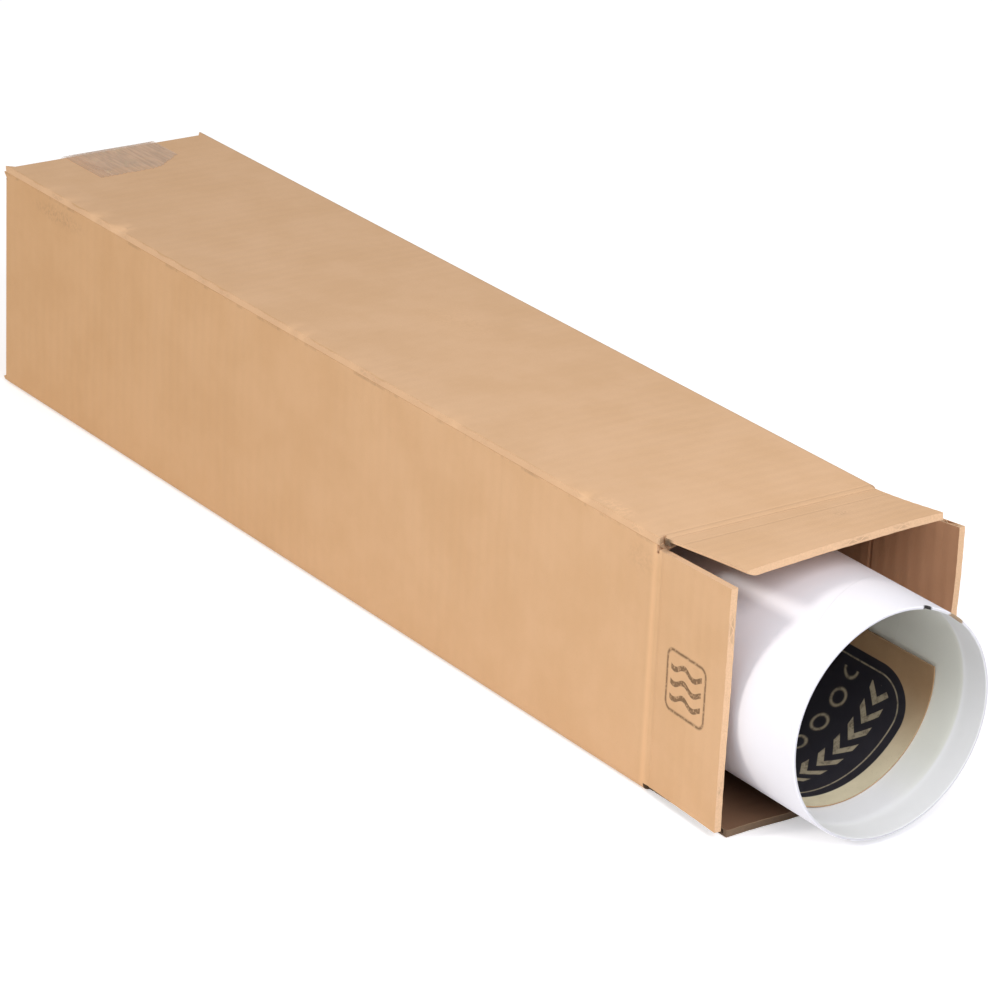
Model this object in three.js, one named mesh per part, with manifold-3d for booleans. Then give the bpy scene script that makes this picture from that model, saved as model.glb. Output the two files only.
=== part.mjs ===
// Square mailing tube: a long corrugated carton, taped shut at its far end and open at its front,
// with a round white postal tube drawn part of the way out and a curled sheet inside that tube.
// Millimetres. X runs across the carton, Y along it with the open end at -Y, Z is up.
import * as THREE from 'three';
import { mergeVertices } from 'three/addons/utils/BufferGeometryUtils.js';
import Module from 'manifold-3d';

const wasm = await Module();
wasm.setup();

// Carton sleeve
const TUBE_PLAY = 6; // the inside of the carton is this much wider and higher than the round tube
const BOARD = 3; // thickness of the corrugated board
const CARTON_LENGTH = 498; // front crease to the outside of the closed end
const FOLD_RADIUS = 3; // outside radius where the board folds
const FOLD_STEPS = 6; // facets round a fold

// Front flaps
const FLAP_LENGTH = 45.5;
const SLOT_WIDTH = 3.4; // board cut away beside each flap, from the outside of the carton
const SLOT_DEPTH = 3; // how far a slot runs past the crease into the sleeve
const HINGE_GAP = 0.5; // crushed board left out between sleeve and flap
const TOP_LIFT_DEG = 5; // the top flap stands a little proud
const SIDE_SPLAY_DEG = 3; // the side flaps lean outwards

// Flaps folded shut at the far end
const END_GAP = 2; // left open where each pair of flaps should meet

// Corrugated section of the flaps
const LINER = 0.4; // paper of the two flat faces
const MEDIUM = 0.35; // paper of the wave between them
const FLUTE_PITCH = 6.5; // one full wave
const CRUSHED_EDGE = 1.6; // pressed solid at the crease and at the cut edge
const FLUTE_MIN_HEIGHT = 0.12; // height at which a flute closes against its liner
const FLUTE_STEPS = 8; // facets along one flute

// Glued seam along the upper left edge
const TAB_WIDTH = 32;
const TAB_THICKNESS = 2.2; // the tab is pressed when it is glued
const TAB_TAPER = 9; // the tab's ends are cut back at an angle
const SEAM_GROOVE_WIDTH = 1.4; // between the raw edge of the top panel and the fold of the left one
const SEAM_GROOVE_DEPTH = 1.3;

// Tape that holds the far end shut
const TAPE_WIDTH = 48;
const TAPE_THICKNESS = 0.25;
const TAPE_GAP = 0.1;
const TAPE_TONGUE = 38; // length of tape on the top panel
const TAPE_STOP = 6; // the tape ends this far above the underside

// Round tube
const TUBE_DIAMETER = 94;
const TUBE_WALL = 1.6;
const TUBE_LENGTH = 480;
const TUBE_PROTRUSION = 80; // how far its mouth stands out of the crease
const TUBE_SEAT_GAP = 0.3; // above the carton's floor
const TUBE_SIDE_GAP = 0.6; // it has rolled almost to the left panel
const CAP_SEAT_DEPTH = 13; // ring inside each mouth where an end cap would sit
const CAP_SEAT_RELIEF = 0.4; // thinner wall over that ring
const RIM_CHAMFER = 0.3;
const TUBE_FACETS = 96;

// Curled sheet inside the tube
const SHEET_THICKNESS = 0.5;
const SHEET_GAP = 0.3; // to the wall of the tube
const SHEET_LENGTH = 420;
const SHEET_RECESS = 28; // its front edge lies this far inside the mouth
const SHEET_EDGE_DEG = 6; // direction of its free long edge, from +X towards +Z
const SHEET_WRAP_DEG = 246; // how far it curls round, down through the bottom
const SHEET_FACETS = 60;

// Worked out from the sizes above
const CLEAR_WIDTH = TUBE_DIAMETER + TUBE_PLAY;
const OUTER = CLEAR_WIDTH + 2 * BOARD;
const HALF = OUTER / 2;
const HALF_CLEAR = CLEAR_WIDTH / 2;
const TOTAL_LENGTH = TUBE_PROTRUSION + CARTON_LENGTH + TAPE_GAP + TAPE_THICKNESS;
const Y_MOUTH = -TOTAL_LENGTH / 2;
const Y_CREASE = Y_MOUTH + TUBE_PROTRUSION;
const Y_END = Y_CREASE + CARTON_LENGTH;
const Y_INNER_FLAPS = Y_END - BOARD; // the flaps folded first lie under this plane
const Y_INSIDE_END = Y_END - 2 * BOARD;
const TUBE_RADIUS = TUBE_DIAMETER / 2;
const TUBE_BORE = TUBE_RADIUS - TUBE_WALL;
const TUBE_X = TUBE_RADIUS + TUBE_SIDE_GAP - HALF_CLEAR;
const TUBE_Z = BOARD + TUBE_SEAT_GAP + TUBE_RADIUS;
const FLAP_WIDTH = OUTER - 2 * SLOT_WIDTH;
const OVERCUT = 1; // tools run past the faces that they cut

const kraft = { color: 0xdcb083, roughness: 0.85, metalness: 0 };
const kraftInside = { color: 0xc79a6c, roughness: 0.88, metalness: 0 };
const tapeFilm = { color: 0xb59a80, roughness: 0.35, metalness: 0 };
const whiteBoard = { color: 0xf2f1f2, roughness: 0.6, metalness: 0 };
const kraftSheet = { color: 0xb99f75, roughness: 0.8, metalness: 0 };

const rad = THREE.MathUtils.degToRad;

// A closed geometry as a solid that can be cut and joined.
function solid(geometry) {
  const bare = geometry.clone();
  bare.deleteAttribute('normal');
  bare.deleteAttribute('uv');
  const merged = mergeVertices(bare, 1e-4);
  return new wasm.Manifold(new wasm.Mesh({
    numProp: 3,
    vertProperties: Float32Array.from(merged.attributes.position.array),
    triVerts: Uint32Array.from(merged.index.array),
  }));
}

function geometryOf(manifold) {
  const cut = manifold.getMesh();
  const geometry = new THREE.BufferGeometry();
  geometry.setAttribute('position', new THREE.BufferAttribute(cut.vertProperties, 3));
  geometry.setIndex(new THREE.BufferAttribute(cut.triVerts, 1));
  geometry.computeVertexNormals();
  return geometry;
}

function piece(name, geometry, finish) {
  const mesh = new THREE.Mesh(geometry, new THREE.MeshStandardMaterial(finish));
  mesh.name = name;
  return mesh;
}

// A section drawn in X and Z, carried from yMin to yMax.
function alongY(shape, yMin, yMax, curveSegments = 1) {
  const depth = yMax - yMin;
  const geometry = new THREE.ExtrudeGeometry(shape, { depth, bevelEnabled: false, curveSegments });
  geometry.rotateX(Math.PI / 2);
  geometry.translate(0, yMax, 0);
  return geometry;
}

// A section drawn in Y and Z, carried from xMin to xMax.
function alongX(shape, xMin, xMax) {
  const geometry = new THREE.ExtrudeGeometry(shape, { depth: xMax - xMin, bevelEnabled: false });
  geometry.rotateX(Math.PI / 2);
  geometry.rotateZ(Math.PI / 2);
  geometry.translate(xMin, 0, 0);
  return geometry;
}

// A section drawn in X and Y, carried from zMin to zMax.
function alongZ(shape, zMin, zMax) {
  const geometry = new THREE.ExtrudeGeometry(shape, { depth: zMax - zMin, bevelEnabled: false });
  geometry.translate(0, 0, zMin);
  return geometry;
}

// A rectangle whose corners have the given radii, from the lower left one round anticlockwise.
function rectangle(u0, v0, u1, v1, radii = [0, 0, 0, 0]) {
  const corners = [[u0, v0, 1, 1], [u1, v0, -1, 1], [u1, v1, -1, -1], [u0, v1, 1, -1]];
  return polygon(corners.flatMap(([u, v, inwardU, inwardV], quarter) => {
    const r = radii[quarter];
    if (r === 0) {
      return [[u, v]];
    }
    return Array.from({ length: FOLD_STEPS + 1 }, (_, i) => {
      const turn = rad(180 + 90 * (quarter + i / FOLD_STEPS));
      return [u + r * (inwardU + Math.cos(turn)), v + r * (inwardV + Math.sin(turn))];
    });
  }));
}

function polygon(points) {
  return new THREE.Shape(points.map(([u, v]) => new THREE.Vector2(u, v)));
}

function block(x0, x1, y0, y1, z0, z1) {
  return solid(alongY(rectangle(x0, z0, x1, z1), y0, y1));
}

// Four panels folded round the section. Three edges are folds, the upper left one is a glued seam.
function sleeve() {
  const section = rectangle(-HALF, 0, HALF, OUTER, [FOLD_RADIUS, FOLD_RADIUS, FOLD_RADIUS, 0]);
  const profile = rectangle(Y_CREASE, 0, Y_INNER_FLAPS, OUTER, [0, FOLD_RADIUS, FOLD_RADIUS, 0]);
  const outside = solid(alongY(section, Y_CREASE, Y_INNER_FLAPS));
  const foldedEnd = solid(alongX(profile, -HALF - OVERCUT, HALF + OVERCUT));
  const inside = rectangle(-HALF_CLEAR, BOARD, HALF_CLEAR, OUTER - BOARD);
  return outside
    .intersect(foldedEnd)
    .subtract(solid(alongY(inside, Y_CREASE - OVERCUT, Y_INSIDE_END)));
}

// One of the two end flaps folded last. It wraps the side panel's edge with a fold.
function outerEndFlap(side) {
  const edge = side * HALF;
  const tip = side * END_GAP / 2;
  const radii = side < 0 ? [0, 0, 0, FOLD_RADIUS] : [0, 0, FOLD_RADIUS, 0];
  const section = rectangle(
    Math.min(edge, tip), Y_INNER_FLAPS - OVERCUT,
    Math.max(edge, tip), Y_END,
    radii,
  );
  return solid(alongZ(section, SLOT_WIDTH, OUTER - SLOT_WIDTH));
}

// The tab that carries on from the left panel, glued under the top panel.
function glueTab() {
  const top = OUTER - BOARD;
  const front = Y_CREASE + SLOT_DEPTH;
  const outline = polygon([
    [-HALF_CLEAR - OVERCUT, front],
    [-HALF_CLEAR, front],
    [-HALF_CLEAR + TAB_WIDTH, front + TAB_TAPER],
    [-HALF_CLEAR + TAB_WIDTH, Y_INSIDE_END - TAB_TAPER],
    [-HALF_CLEAR, Y_INSIDE_END],
    [-HALF_CLEAR - OVERCUT, Y_INSIDE_END],
  ]);
  return solid(alongZ(outline, top - TAB_THICKNESS, top + OVERCUT));
}

// The groove outside the seam, between the raw edge of the top panel and the left panel's fold.
function seamGroove() {
  const seam = OUTER - BOARD;
  const outline = polygon([
    [-HALF - OVERCUT, seam - SEAM_GROOVE_WIDTH / 2],
    [-HALF, seam - SEAM_GROOVE_WIDTH / 2],
    [-HALF + SEAM_GROOVE_DEPTH, seam],
    [-HALF, seam + SEAM_GROOVE_WIDTH / 2],
    [-HALF - OVERCUT, seam + SEAM_GROOVE_WIDTH / 2],
  ]);
  return solid(alongY(outline, Y_CREASE - OVERCUT, Y_END + OVERCUT));
}

// The slots between the front flaps end in a small notch at each corner of the sleeve.
function slotNotches() {
  const notches = [-1, 1].flatMap((side) => [false, true].map((upper) => {
    const x0 = side < 0 ? -HALF - OVERCUT : HALF - SLOT_WIDTH;
    const z0 = upper ? OUTER - SLOT_WIDTH : -OVERCUT;
    const reach = SLOT_WIDTH + OVERCUT;
    return block(x0, x0 + reach, Y_CREASE - OVERCUT, Y_CREASE + SLOT_DEPTH, z0, z0 + reach);
  }));
  return notches.reduce((all, next) => all.add(next));
}

// The gap that shows between the tips of the two end flaps folded first.
function innerEndGap() {
  const z0 = (OUTER - END_GAP) / 2;
  return block(
    -HALF_CLEAR, HALF_CLEAR,
    Y_INSIDE_END - OVERCUT, Y_INNER_FLAPS + OVERCUT,
    z0, z0 + END_GAP,
  );
}

function cartonBody() {
  const folded = sleeve()
    .add(glueTab())
    .subtract(innerEndGap())
    .add(outerEndFlap(-1))
    .add(outerEndFlap(1))
    .subtract(seamGroove())
    .subtract(slotNotches());
  return geometryOf(folded);
}

// Height of the middle of the wave at a distance v from the crease, with the liners at 0 and BOARD.
function waveHeight(v, start) {
  const swing = (BOARD - 2 * LINER - MEDIUM) / 2;
  return BOARD / 2 + swing * Math.cos((2 * Math.PI * (v - start)) / FLUTE_PITCH);
}

// One flute: the hollow between a liner and the wave, over the half of a pitch where it is open.
function flute(centre, start, underTop) {
  const liner = underTop ? BOARD - LINER : LINER;
  const away = underTop ? -1 : 1;
  const face = (v) => waveHeight(v, start) - away * MEDIUM / 2;
  const opening = (v) => away * (face(v) - liner);
  const trim = FLUTE_PITCH / 100;
  let reach = FLUTE_PITCH / 2;
  while (reach > trim && opening(centre + reach) < FLUTE_MIN_HEIGHT) {
    reach -= trim;
  }
  const wave = Array.from({ length: FLUTE_STEPS + 1 }, (_, i) => {
    const v = centre - reach + (2 * reach * i) / FLUTE_STEPS;
    return [-v, face(v)];
  });
  const outline = polygon([...wave, [-(centre + reach), liner], [-(centre - reach), liner]]);
  return solid(alongX(outline, -FLAP_WIDTH / 2 - OVERCUT, FLAP_WIDTH / 2 + OVERCUT));
}

// A flap lies along -Y from the crease, outer face up at z = 0, with its flutes open along X.
function flapGeometry() {
  const near = HINGE_GAP;
  const far = FLAP_LENGTH;
  const room = far - near - 2 * CRUSHED_EDGE;
  const waves = Math.floor(room / FLUTE_PITCH);
  const start = near + CRUSHED_EDGE + (room - waves * FLUTE_PITCH) / 2;
  let board = solid(alongX(rectangle(-far, 0, -near, BOARD), -FLAP_WIDTH / 2, FLAP_WIDTH / 2));
  for (let i = 0; i < waves; i += 1) {
    board = board.subtract(flute(start + (i + 0.5) * FLUTE_PITCH, start, true));
    if (i > 0) {
      board = board.subtract(flute(start + i * FLUTE_PITCH, start, false));
    }
  }
  return geometryOf(board).translate(0, 0, -BOARD);
}

// A front flap on its crease. roll turns it round Y to its panel, open swings it outwards.
function flap(name, x, z, rollDeg, openDeg) {
  const crease = new THREE.Group();
  crease.position.set(x, Y_CREASE, z);
  crease.rotation.y = rad(rollDeg);
  const swing = new THREE.Group();
  swing.rotation.x = -rad(openDeg);
  swing.add(piece(name, flapGeometry(), kraft));
  crease.add(swing);
  return crease;
}

// One strip of tape: along the top panel, over the folded edge and down the end.
function closingTape() {
  const top = OUTER + TAPE_GAP;
  const back = Y_END + TAPE_GAP;
  const shoulder = OUTER - SLOT_WIDTH + TAPE_GAP;
  const outline = polygon([
    [Y_END - TAPE_TONGUE, top],
    [Y_INNER_FLAPS, top],
    [back, shoulder],
    [back, TAPE_STOP],
    [back + TAPE_THICKNESS, TAPE_STOP],
    [back + TAPE_THICKNESS, shoulder + TAPE_THICKNESS / 2],
    [Y_INNER_FLAPS + TAPE_THICKNESS / 2, top + TAPE_THICKNESS],
    [Y_END - TAPE_TONGUE, top + TAPE_THICKNESS],
  ]);
  return alongX(outline, -TAPE_WIDTH / 2, TAPE_WIDTH / 2);
}

// The wall of the tube, turned round Y, with a shallow cap seat inside each mouth.
function tubeWall() {
  const seat = TUBE_BORE + CAP_SEAT_RELIEF;
  const end = TUBE_LENGTH;
  const profile = [
    [seat, 0],
    [TUBE_RADIUS - RIM_CHAMFER, 0],
    [TUBE_RADIUS, RIM_CHAMFER],
    [TUBE_RADIUS, end - RIM_CHAMFER],
    [TUBE_RADIUS - RIM_CHAMFER, end],
    [seat, end],
    [seat, end - CAP_SEAT_DEPTH],
    [TUBE_BORE, end - CAP_SEAT_DEPTH],
    [TUBE_BORE, CAP_SEAT_DEPTH],
    [seat, CAP_SEAT_DEPTH],
    [seat, 0],
  ];
  return new THREE.LatheGeometry(
    profile.map(([r, y]) => new THREE.Vector2(r, y)),
    TUBE_FACETS,
  );
}

// The sheet springs open against the wall: an arc of paper from its free edge round through the bottom.
function curledSheet() {
  const outer = TUBE_BORE - SHEET_GAP;
  const inner = outer - SHEET_THICKNESS;
  const from = rad(SHEET_EDGE_DEG);
  const to = rad(SHEET_EDGE_DEG - SHEET_WRAP_DEG);
  const shape = new THREE.Shape();
  shape.absarc(0, 0, outer, from, to, true);
  shape.absarc(0, 0, inner, to, from, false);
  shape.closePath();
  return alongY(shape, 0, SHEET_LENGTH, SHEET_FACETS);
}

const carton = new THREE.Group();
carton.add(piece('carton_body', cartonBody(), kraftInside));
carton.add(flap('top_flap', 0, OUTER, 0, TOP_LIFT_DEG));
carton.add(flap('bottom_flap', 0, 0, 180, 0));
carton.add(flap('left_flap', -HALF, HALF, -90, SIDE_SPLAY_DEG));
carton.add(flap('right_flap', HALF, HALF, 90, SIDE_SPLAY_DEG));
carton.add(piece('closing_tape', closingTape(), tapeFilm));

const tube = new THREE.Group();
tube.position.set(TUBE_X, Y_MOUTH, TUBE_Z);
tube.add(piece('inner_tube', tubeWall(), whiteBoard));
const sheet = piece('curled_sheet', curledSheet(), kraftSheet);
sheet.position.y = SHEET_RECESS;
tube.add(sheet);

const mailingTube = new THREE.Group();
mailingTube.add(carton, tube);

export default mailingTube;
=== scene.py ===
"""A square mailing tube: a long corrugated carton with a white postal tube drawn part of the way out.

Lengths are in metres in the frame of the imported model: X runs across the carton, Y along it with the
open end at -Y, Z is up. Every piece is a sheet with thickness: two grids of points, its face and its
back, worked out from two parameters and joined round their edges.
"""

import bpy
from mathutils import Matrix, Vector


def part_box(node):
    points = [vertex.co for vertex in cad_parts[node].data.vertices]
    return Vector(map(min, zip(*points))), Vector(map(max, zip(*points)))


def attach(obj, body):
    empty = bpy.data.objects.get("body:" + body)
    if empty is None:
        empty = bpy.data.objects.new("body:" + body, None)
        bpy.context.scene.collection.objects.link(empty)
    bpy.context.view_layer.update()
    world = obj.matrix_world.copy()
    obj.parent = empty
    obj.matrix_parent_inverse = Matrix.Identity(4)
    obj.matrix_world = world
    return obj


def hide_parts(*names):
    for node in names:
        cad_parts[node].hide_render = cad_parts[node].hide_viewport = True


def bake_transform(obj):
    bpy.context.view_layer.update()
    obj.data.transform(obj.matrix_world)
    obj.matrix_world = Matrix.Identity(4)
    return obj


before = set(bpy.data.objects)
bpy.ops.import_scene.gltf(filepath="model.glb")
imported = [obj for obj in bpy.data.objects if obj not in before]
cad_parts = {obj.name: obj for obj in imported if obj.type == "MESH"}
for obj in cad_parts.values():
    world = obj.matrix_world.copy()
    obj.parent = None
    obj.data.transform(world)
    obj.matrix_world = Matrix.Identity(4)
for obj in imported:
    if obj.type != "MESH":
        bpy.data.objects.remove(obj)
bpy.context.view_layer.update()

import math

import bpy
import numpy as np
from bpy.props import FloatProperty, FloatVectorProperty, PointerProperty
from mathutils import Matrix, Vector

bl_info = {
    "name": "Square mailing tube",
    "version": (1, 0, 0),
    "blender": (4, 5, 0),
    "location": "View3D > Sidebar > Mailer",
    "description": "Builds a folded corrugated carton, its flaps, tape, postal tube and curled sheet",
    "category": "Add Mesh",
}

FACE, BACK, EDGE = 0, 1, 2  # the three kinds of skin that a sheet has

CARTON_LOW, CARTON_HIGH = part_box("carton_body")
TUBE_LOW, TUBE_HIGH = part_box("inner_tube")
SHEET_LOW, SHEET_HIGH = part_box("curled_sheet")
TAPE_LOW, TAPE_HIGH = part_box("closing_tape")
FLAP_LOW, FLAP_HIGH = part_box("bottom_flap")

HALF = CARTON_HIGH.x
TOP = CARTON_HIGH.z
Y_CREASE = CARTON_LOW.y
Y_END = CARTON_HIGH.y
FLAP_HALF = FLAP_HIGH.x
SLOT = HALF - FLAP_HALF  # board cut away beside each flap
FLAP_REACH = Y_CREASE - FLAP_LOW.y
TUBE_RADIUS = (TUBE_HIGH.z - TUBE_LOW.z) / 2
TUBE_AXIS = Vector(((TUBE_LOW.x + TUBE_HIGH.x) / 2, 0, (TUBE_LOW.z + TUBE_HIGH.z) / 2))


def length(label, text, default):
    """A length in metres that a user may change."""
    return FloatProperty(name=label, description=text, default=default, unit="LENGTH", precision=5)


def colour(label, text, default):
    """A colour that a user may change."""
    return FloatVectorProperty(
        name=label, description=text, default=default, size=3, subtype="COLOR", min=0, max=1
    )


def plain(label, text, default):
    """A plain number that a user may change."""
    return FloatProperty(name=label, description=text, default=default)


def turn(label, text, degrees):
    """An angle that a user may change."""
    return FloatProperty(name=label, description=text, default=math.radians(degrees), subtype="ANGLE")


class MailerBoardSettings(bpy.types.PropertyGroup):
    """The corrugated board of the carton and its flaps."""

    thickness: length("Board", "Thickness of the corrugated board", 0.003)
    liner: length("Liner", "Paper of the two flat faces", 0.0004)
    medium: length("Medium", "Paper of the wave between the liners", 0.00035)
    pitch: length("Flute pitch", "One full wave of the medium", 0.0065)
    fold: length("Fold radius", "Outside radius of a fold along the carton", 0.003)
    seam_fold: length("Seam radius", "Outside radius of the fold beside the glued seam", 0.0005)
    inner_fold: length("Inner radius", "Inside radius of every fold", 0.0003)
    end_fold: length("End fold", "Outside radius of the folds at the far end", 0.0033)
    slot_depth: length("Slot depth", "How far the slots run past the front crease", 0.003)
    crease: length("Crease", "Half the width of the pressed strip at a front crease", 0.0015)
    score: length("Score", "Depth of the pressed line in the outer face", 0.00018)
    end_flap: length("End flap", "Length of the flaps folded shut at the far end", 0.052)
    tab: length("Glue tab", "Width of the tab under the top panel", 0.032)
    tab_taper: length("Tab taper", "How far the tab's ends are cut back", 0.009)
    crushed: length("Crushed edge", "Width pressed solid at a cut across the flutes", 0.0016)
    bow: length("Bow", "How far a panel stands out in its middle", 0.0005)
    ragged: length("Ragged edge", "Unevenness of the raw edge at the seam", 0.0005)
    corner_gap: length("Corner gap", "How far the corners stop short of the far end", 0.0006)
    corner_reach: length("Corner reach", "How far they pass a panel that ends early", 0.0008)
    outer_colour: colour("Outer liner", "Kraft paper outside", (0.685, 0.432, 0.245))
    inner_colour: colour("Inner liner", "Kraft paper inside", (0.50, 0.265, 0.14))
    edge_colour: colour("Cut edge", "Bare board where it is cut", (0.70, 0.455, 0.27))
    ink_colour: colour("Ink", "Print on the left flap", (0.14, 0.075, 0.03))


class MailerFlapSettings(bpy.types.PropertyGroup):
    """How the front flaps depart from flat rectangles."""

    left_start: length("Top flap left start", "How far its left edge stands into the slot", 0.0010)
    left_inset: length("Top flap left inset", "How far its left edge slants in by the tip", 0.0015)
    right_inset: length("Top flap right inset", "How far its right edge slants in by the tip", 0.0040)
    left_lift: length("Top flap left lift", "How far its left corner stands up or down", -0.0006)
    right_lift: length("Top flap right lift", "How far its right corner stands up", 0.0034)
    trim: length("Left flap trim", "How much more is cut off its upper edge at the crease", 0.0014)
    rise: length("Left flap rise", "How far that edge slants up by the tip", 0.0024)
    spread: length("Right flap spread", "How far the right flap's tip curls outwards", 0.0022)
    lean: length("Right flap lean", "How far the right flap's tip has risen", 0.0024)
    pressed: length("Pressed edge", "Width pressed shut at the side edges beside the slit", 0.0008)
    flattened: length("Flattened edge", "Thickness lost at the top flap's left edge", 0.0018)


class MailerTapeSettings(bpy.types.PropertyGroup):
    """The strip of packing tape over the far end."""

    slant: length("Slant", "How far the torn right corner stops short", 0.012)
    film: length("Film", "Thickness of the tape as it shows", 0.00012)
    tooth: length("Teeth", "Depth of the teeth cut by the dispenser", 0.0007)
    tooth_pitch: length("Tooth pitch", "Width of one tooth", 0.0024)
    colour: colour("Film colour", "Translucent brown film", (0.80, 0.58, 0.40))
    alpha: plain("Cover", "How much of the board the film hides", 0.45)


class MailerTubeSettings(bpy.types.PropertyGroup):
    """The round postal tube."""

    wall: length("Wall", "Thickness of the wound board", 0.0016)
    seat_depth: length("Cap seat", "Depth of the ring where an end cap would sit", 0.013)
    seat_relief: length("Cap relief", "Thinner wall over that ring", 0.0004)
    seat_slope: length("Seat slope", "Length over which the ring's relief ends", 0.0045)
    rim: length("Rim", "Rounding of the rim", 0.00035)
    uneven: length("Unevenness", "How far the tube is out of round", 0.00012)
    winding: length("Winding", "Width of the paper strip wound round the tube", 0.11)
    colour: colour("White liner", "White paper outside", (0.86, 0.855, 0.90))
    inner_colour: colour("Inside", "White paper inside", (0.91, 0.915, 0.92))
    ply_colour: colour("Plies", "Grey board under the white paper", (0.50, 0.43, 0.36))


class MailerSheetSettings(bpy.types.PropertyGroup):
    """The curled printed sheet in the postal tube."""

    paper: length("Paper", "Thickness of the sheet", 0.0005)
    edge_lift: length("Edge lift", "How far the free long edge springs off the wall", 0.0007)
    edge_turn: turn("Edge direction", "Direction of the free long edge, from X towards Z", 3)
    wrap: turn("Wrap", "How far the sheet curls round", 243)
    colour: colour("Kraft paper", "Bare paper of the sheet", (0.42, 0.265, 0.14))
    # Painted light: the paler colour of the sheet low in the tube, where more light reaches it.
    painted_light_colour: colour("Paper in painted light", "Paler paper low in the tube", (0.80, 0.72, 0.51))
    ink_colour: colour("Ink", "Dark print", (0.016, 0.015, 0.022))
    motif_colour: colour("Motif", "Pale motifs left in the dark print", (0.40, 0.345, 0.235))


class MailerStageSettings(bpy.types.PropertyGroup):
    """Floor, lamps and camera."""

    azimuth: turn("Azimuth", "Direction of the camera round the carton, from the front", -36.1716)
    elevation: turn("Elevation", "Height of the camera above the horizon", 22.5491)
    roll: turn("Roll", "Turn of the camera about its own axis", 2.6336)
    position: FloatVectorProperty(
        name="Camera", description="Place of the camera", size=3, unit="LENGTH",
        default=(-1.03176, -1.44110, 0.77331),
    )
    lens: plain("Lens", "Focal length for a 36 mm wide sensor", 165.666)
    key: plain("Key", "Strength of the sun from the left", 1.2)
    overhead: plain("Overhead", "Power of the soft lamp above", 1.6)
    front: plain("Front", "Power of the soft lamp in front of the open end", 9.0)
    sky: plain("Sky", "Strength of the even light all round", 0.46)
    floor: FloatProperty(name="Floor", description="Width of the floor", default=14.0, unit="LENGTH")


def unevenness(a, b, wavelength, seed, count=6):
    """A smooth unevenness of about -1 to 1: sines of several directions and lengths added together."""
    draw = np.random.default_rng(seed)
    total = np.zeros(np.broadcast(a, b).shape)
    for _ in range(count):
        heading, phase = draw.uniform(0, 2 * np.pi, 2)
        size = wavelength * draw.uniform(0.6, 1.7)
        total = total + np.sin(2 * np.pi * (a * np.cos(heading) + b * np.sin(heading)) / size + phase)
    return total / math.sqrt(2 * count)


def sheet_part(face, back, uv, cells=None, closed=False, skins=(FACE, BACK, EDGE)):
    """The skin of a sheet: face, back, and edges wherever a kept cell has no neighbour.

    face and back are grids of points, uv their distances along the sheet. cells says which squares of
    the grid are kept, and closed joins the last row to the first. On an edge the first coordinate is
    the distance along it, and the second goes from 0 at the face to 1 at the back.
    """
    rows, columns = face.shape[:2]
    number = np.arange(rows * columns).reshape(rows, columns)
    if closed:
        number = np.vstack([number, number[:1]])
    if cells is None:
        cells = np.ones((len(number) - 1, columns - 1), bool)
    a, b, c, d = number[:-1, :-1], number[1:, :-1], number[1:, 1:], number[:-1, 1:]
    under = rows * columns
    corners = [np.stack([a, b, c, d], -1)[cells], np.stack([a, d, c, b], -1)[cells] + under]
    flat = np.concatenate([uv.reshape(-1, 2)] * 2)
    places = [flat[corners[0]], flat[corners[1]]]
    kinds = [np.full(len(corners[0]), skins[0]), np.full(len(corners[1]), skins[1])]
    around = np.pad(cells, 1)
    if closed:
        around[0, 1:-1] = cells[-1]
        around[-1, 1:-1] = cells[0]
    sides = (
        (a, b, around[1:-1, :-2], 0), (b, c, around[2:, 1:-1], 1),
        (c, d, around[1:-1, 2:], 0), (d, a, around[:-2, 1:-1], 1),
    )
    for first, second, neighbour, axis in sides:
        bare = cells & ~neighbour
        p, q = first[bare], second[bare]
        corners.append(np.stack([q, p, p + under, q + under], -1))
        along = np.stack([flat[q, axis], flat[p, axis], flat[p, axis], flat[q, axis]], -1)
        across = np.broadcast_to([0.0, 0.0, 1.0, 1.0], along.shape)
        places.append(np.stack([along, across], -1))
        kinds.append(np.full(len(p), skins[2]))
    points = np.concatenate([face.reshape(-1, 3), back.reshape(-1, 3)])
    return points, np.concatenate(corners), np.concatenate(kinds), np.concatenate(places)


def add_piece(name, parts, materials, sharp=math.radians(38)):
    """One mesh object out of sheet parts. Points that no face uses are dropped."""
    points, corners, kinds, places, offset = [], [], [], [], 0
    for part_points, part_corners, part_kinds, part_places in parts:
        points.append(part_points)
        corners.append(part_corners + offset)
        kinds.append(part_kinds)
        places.append(part_places)
        offset += len(part_points)
    points, corners = np.concatenate(points), np.concatenate(corners)
    used, corners = np.unique(corners, return_inverse=True)
    corners = corners.reshape(-1, 4)
    mesh = bpy.data.meshes.new(name)
    mesh.from_pydata(points[used].tolist(), [], corners.tolist())
    mesh.polygons.foreach_set("material_index", np.concatenate(kinds).astype(np.int32))
    mesh.polygons.foreach_set("use_smooth", np.ones(len(corners), bool))
    layer = mesh.uv_layers.new(name="sheet")
    layer.data.foreach_set("uv", np.concatenate(places).astype(np.float32).ravel())
    for material in materials:
        mesh.materials.append(material)
    mesh.set_sharp_from_angle(angle=sharp)
    mesh.update()
    piece = bpy.data.objects.new(name, mesh)
    bpy.context.scene.collection.objects.link(piece)
    return piece


def settle(piece, body, slot, *nodes):
    """A finished piece moves with its body and stands for the plain solids that it replaces."""
    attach(piece, body)
    if nodes:
        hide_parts(*nodes)


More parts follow.
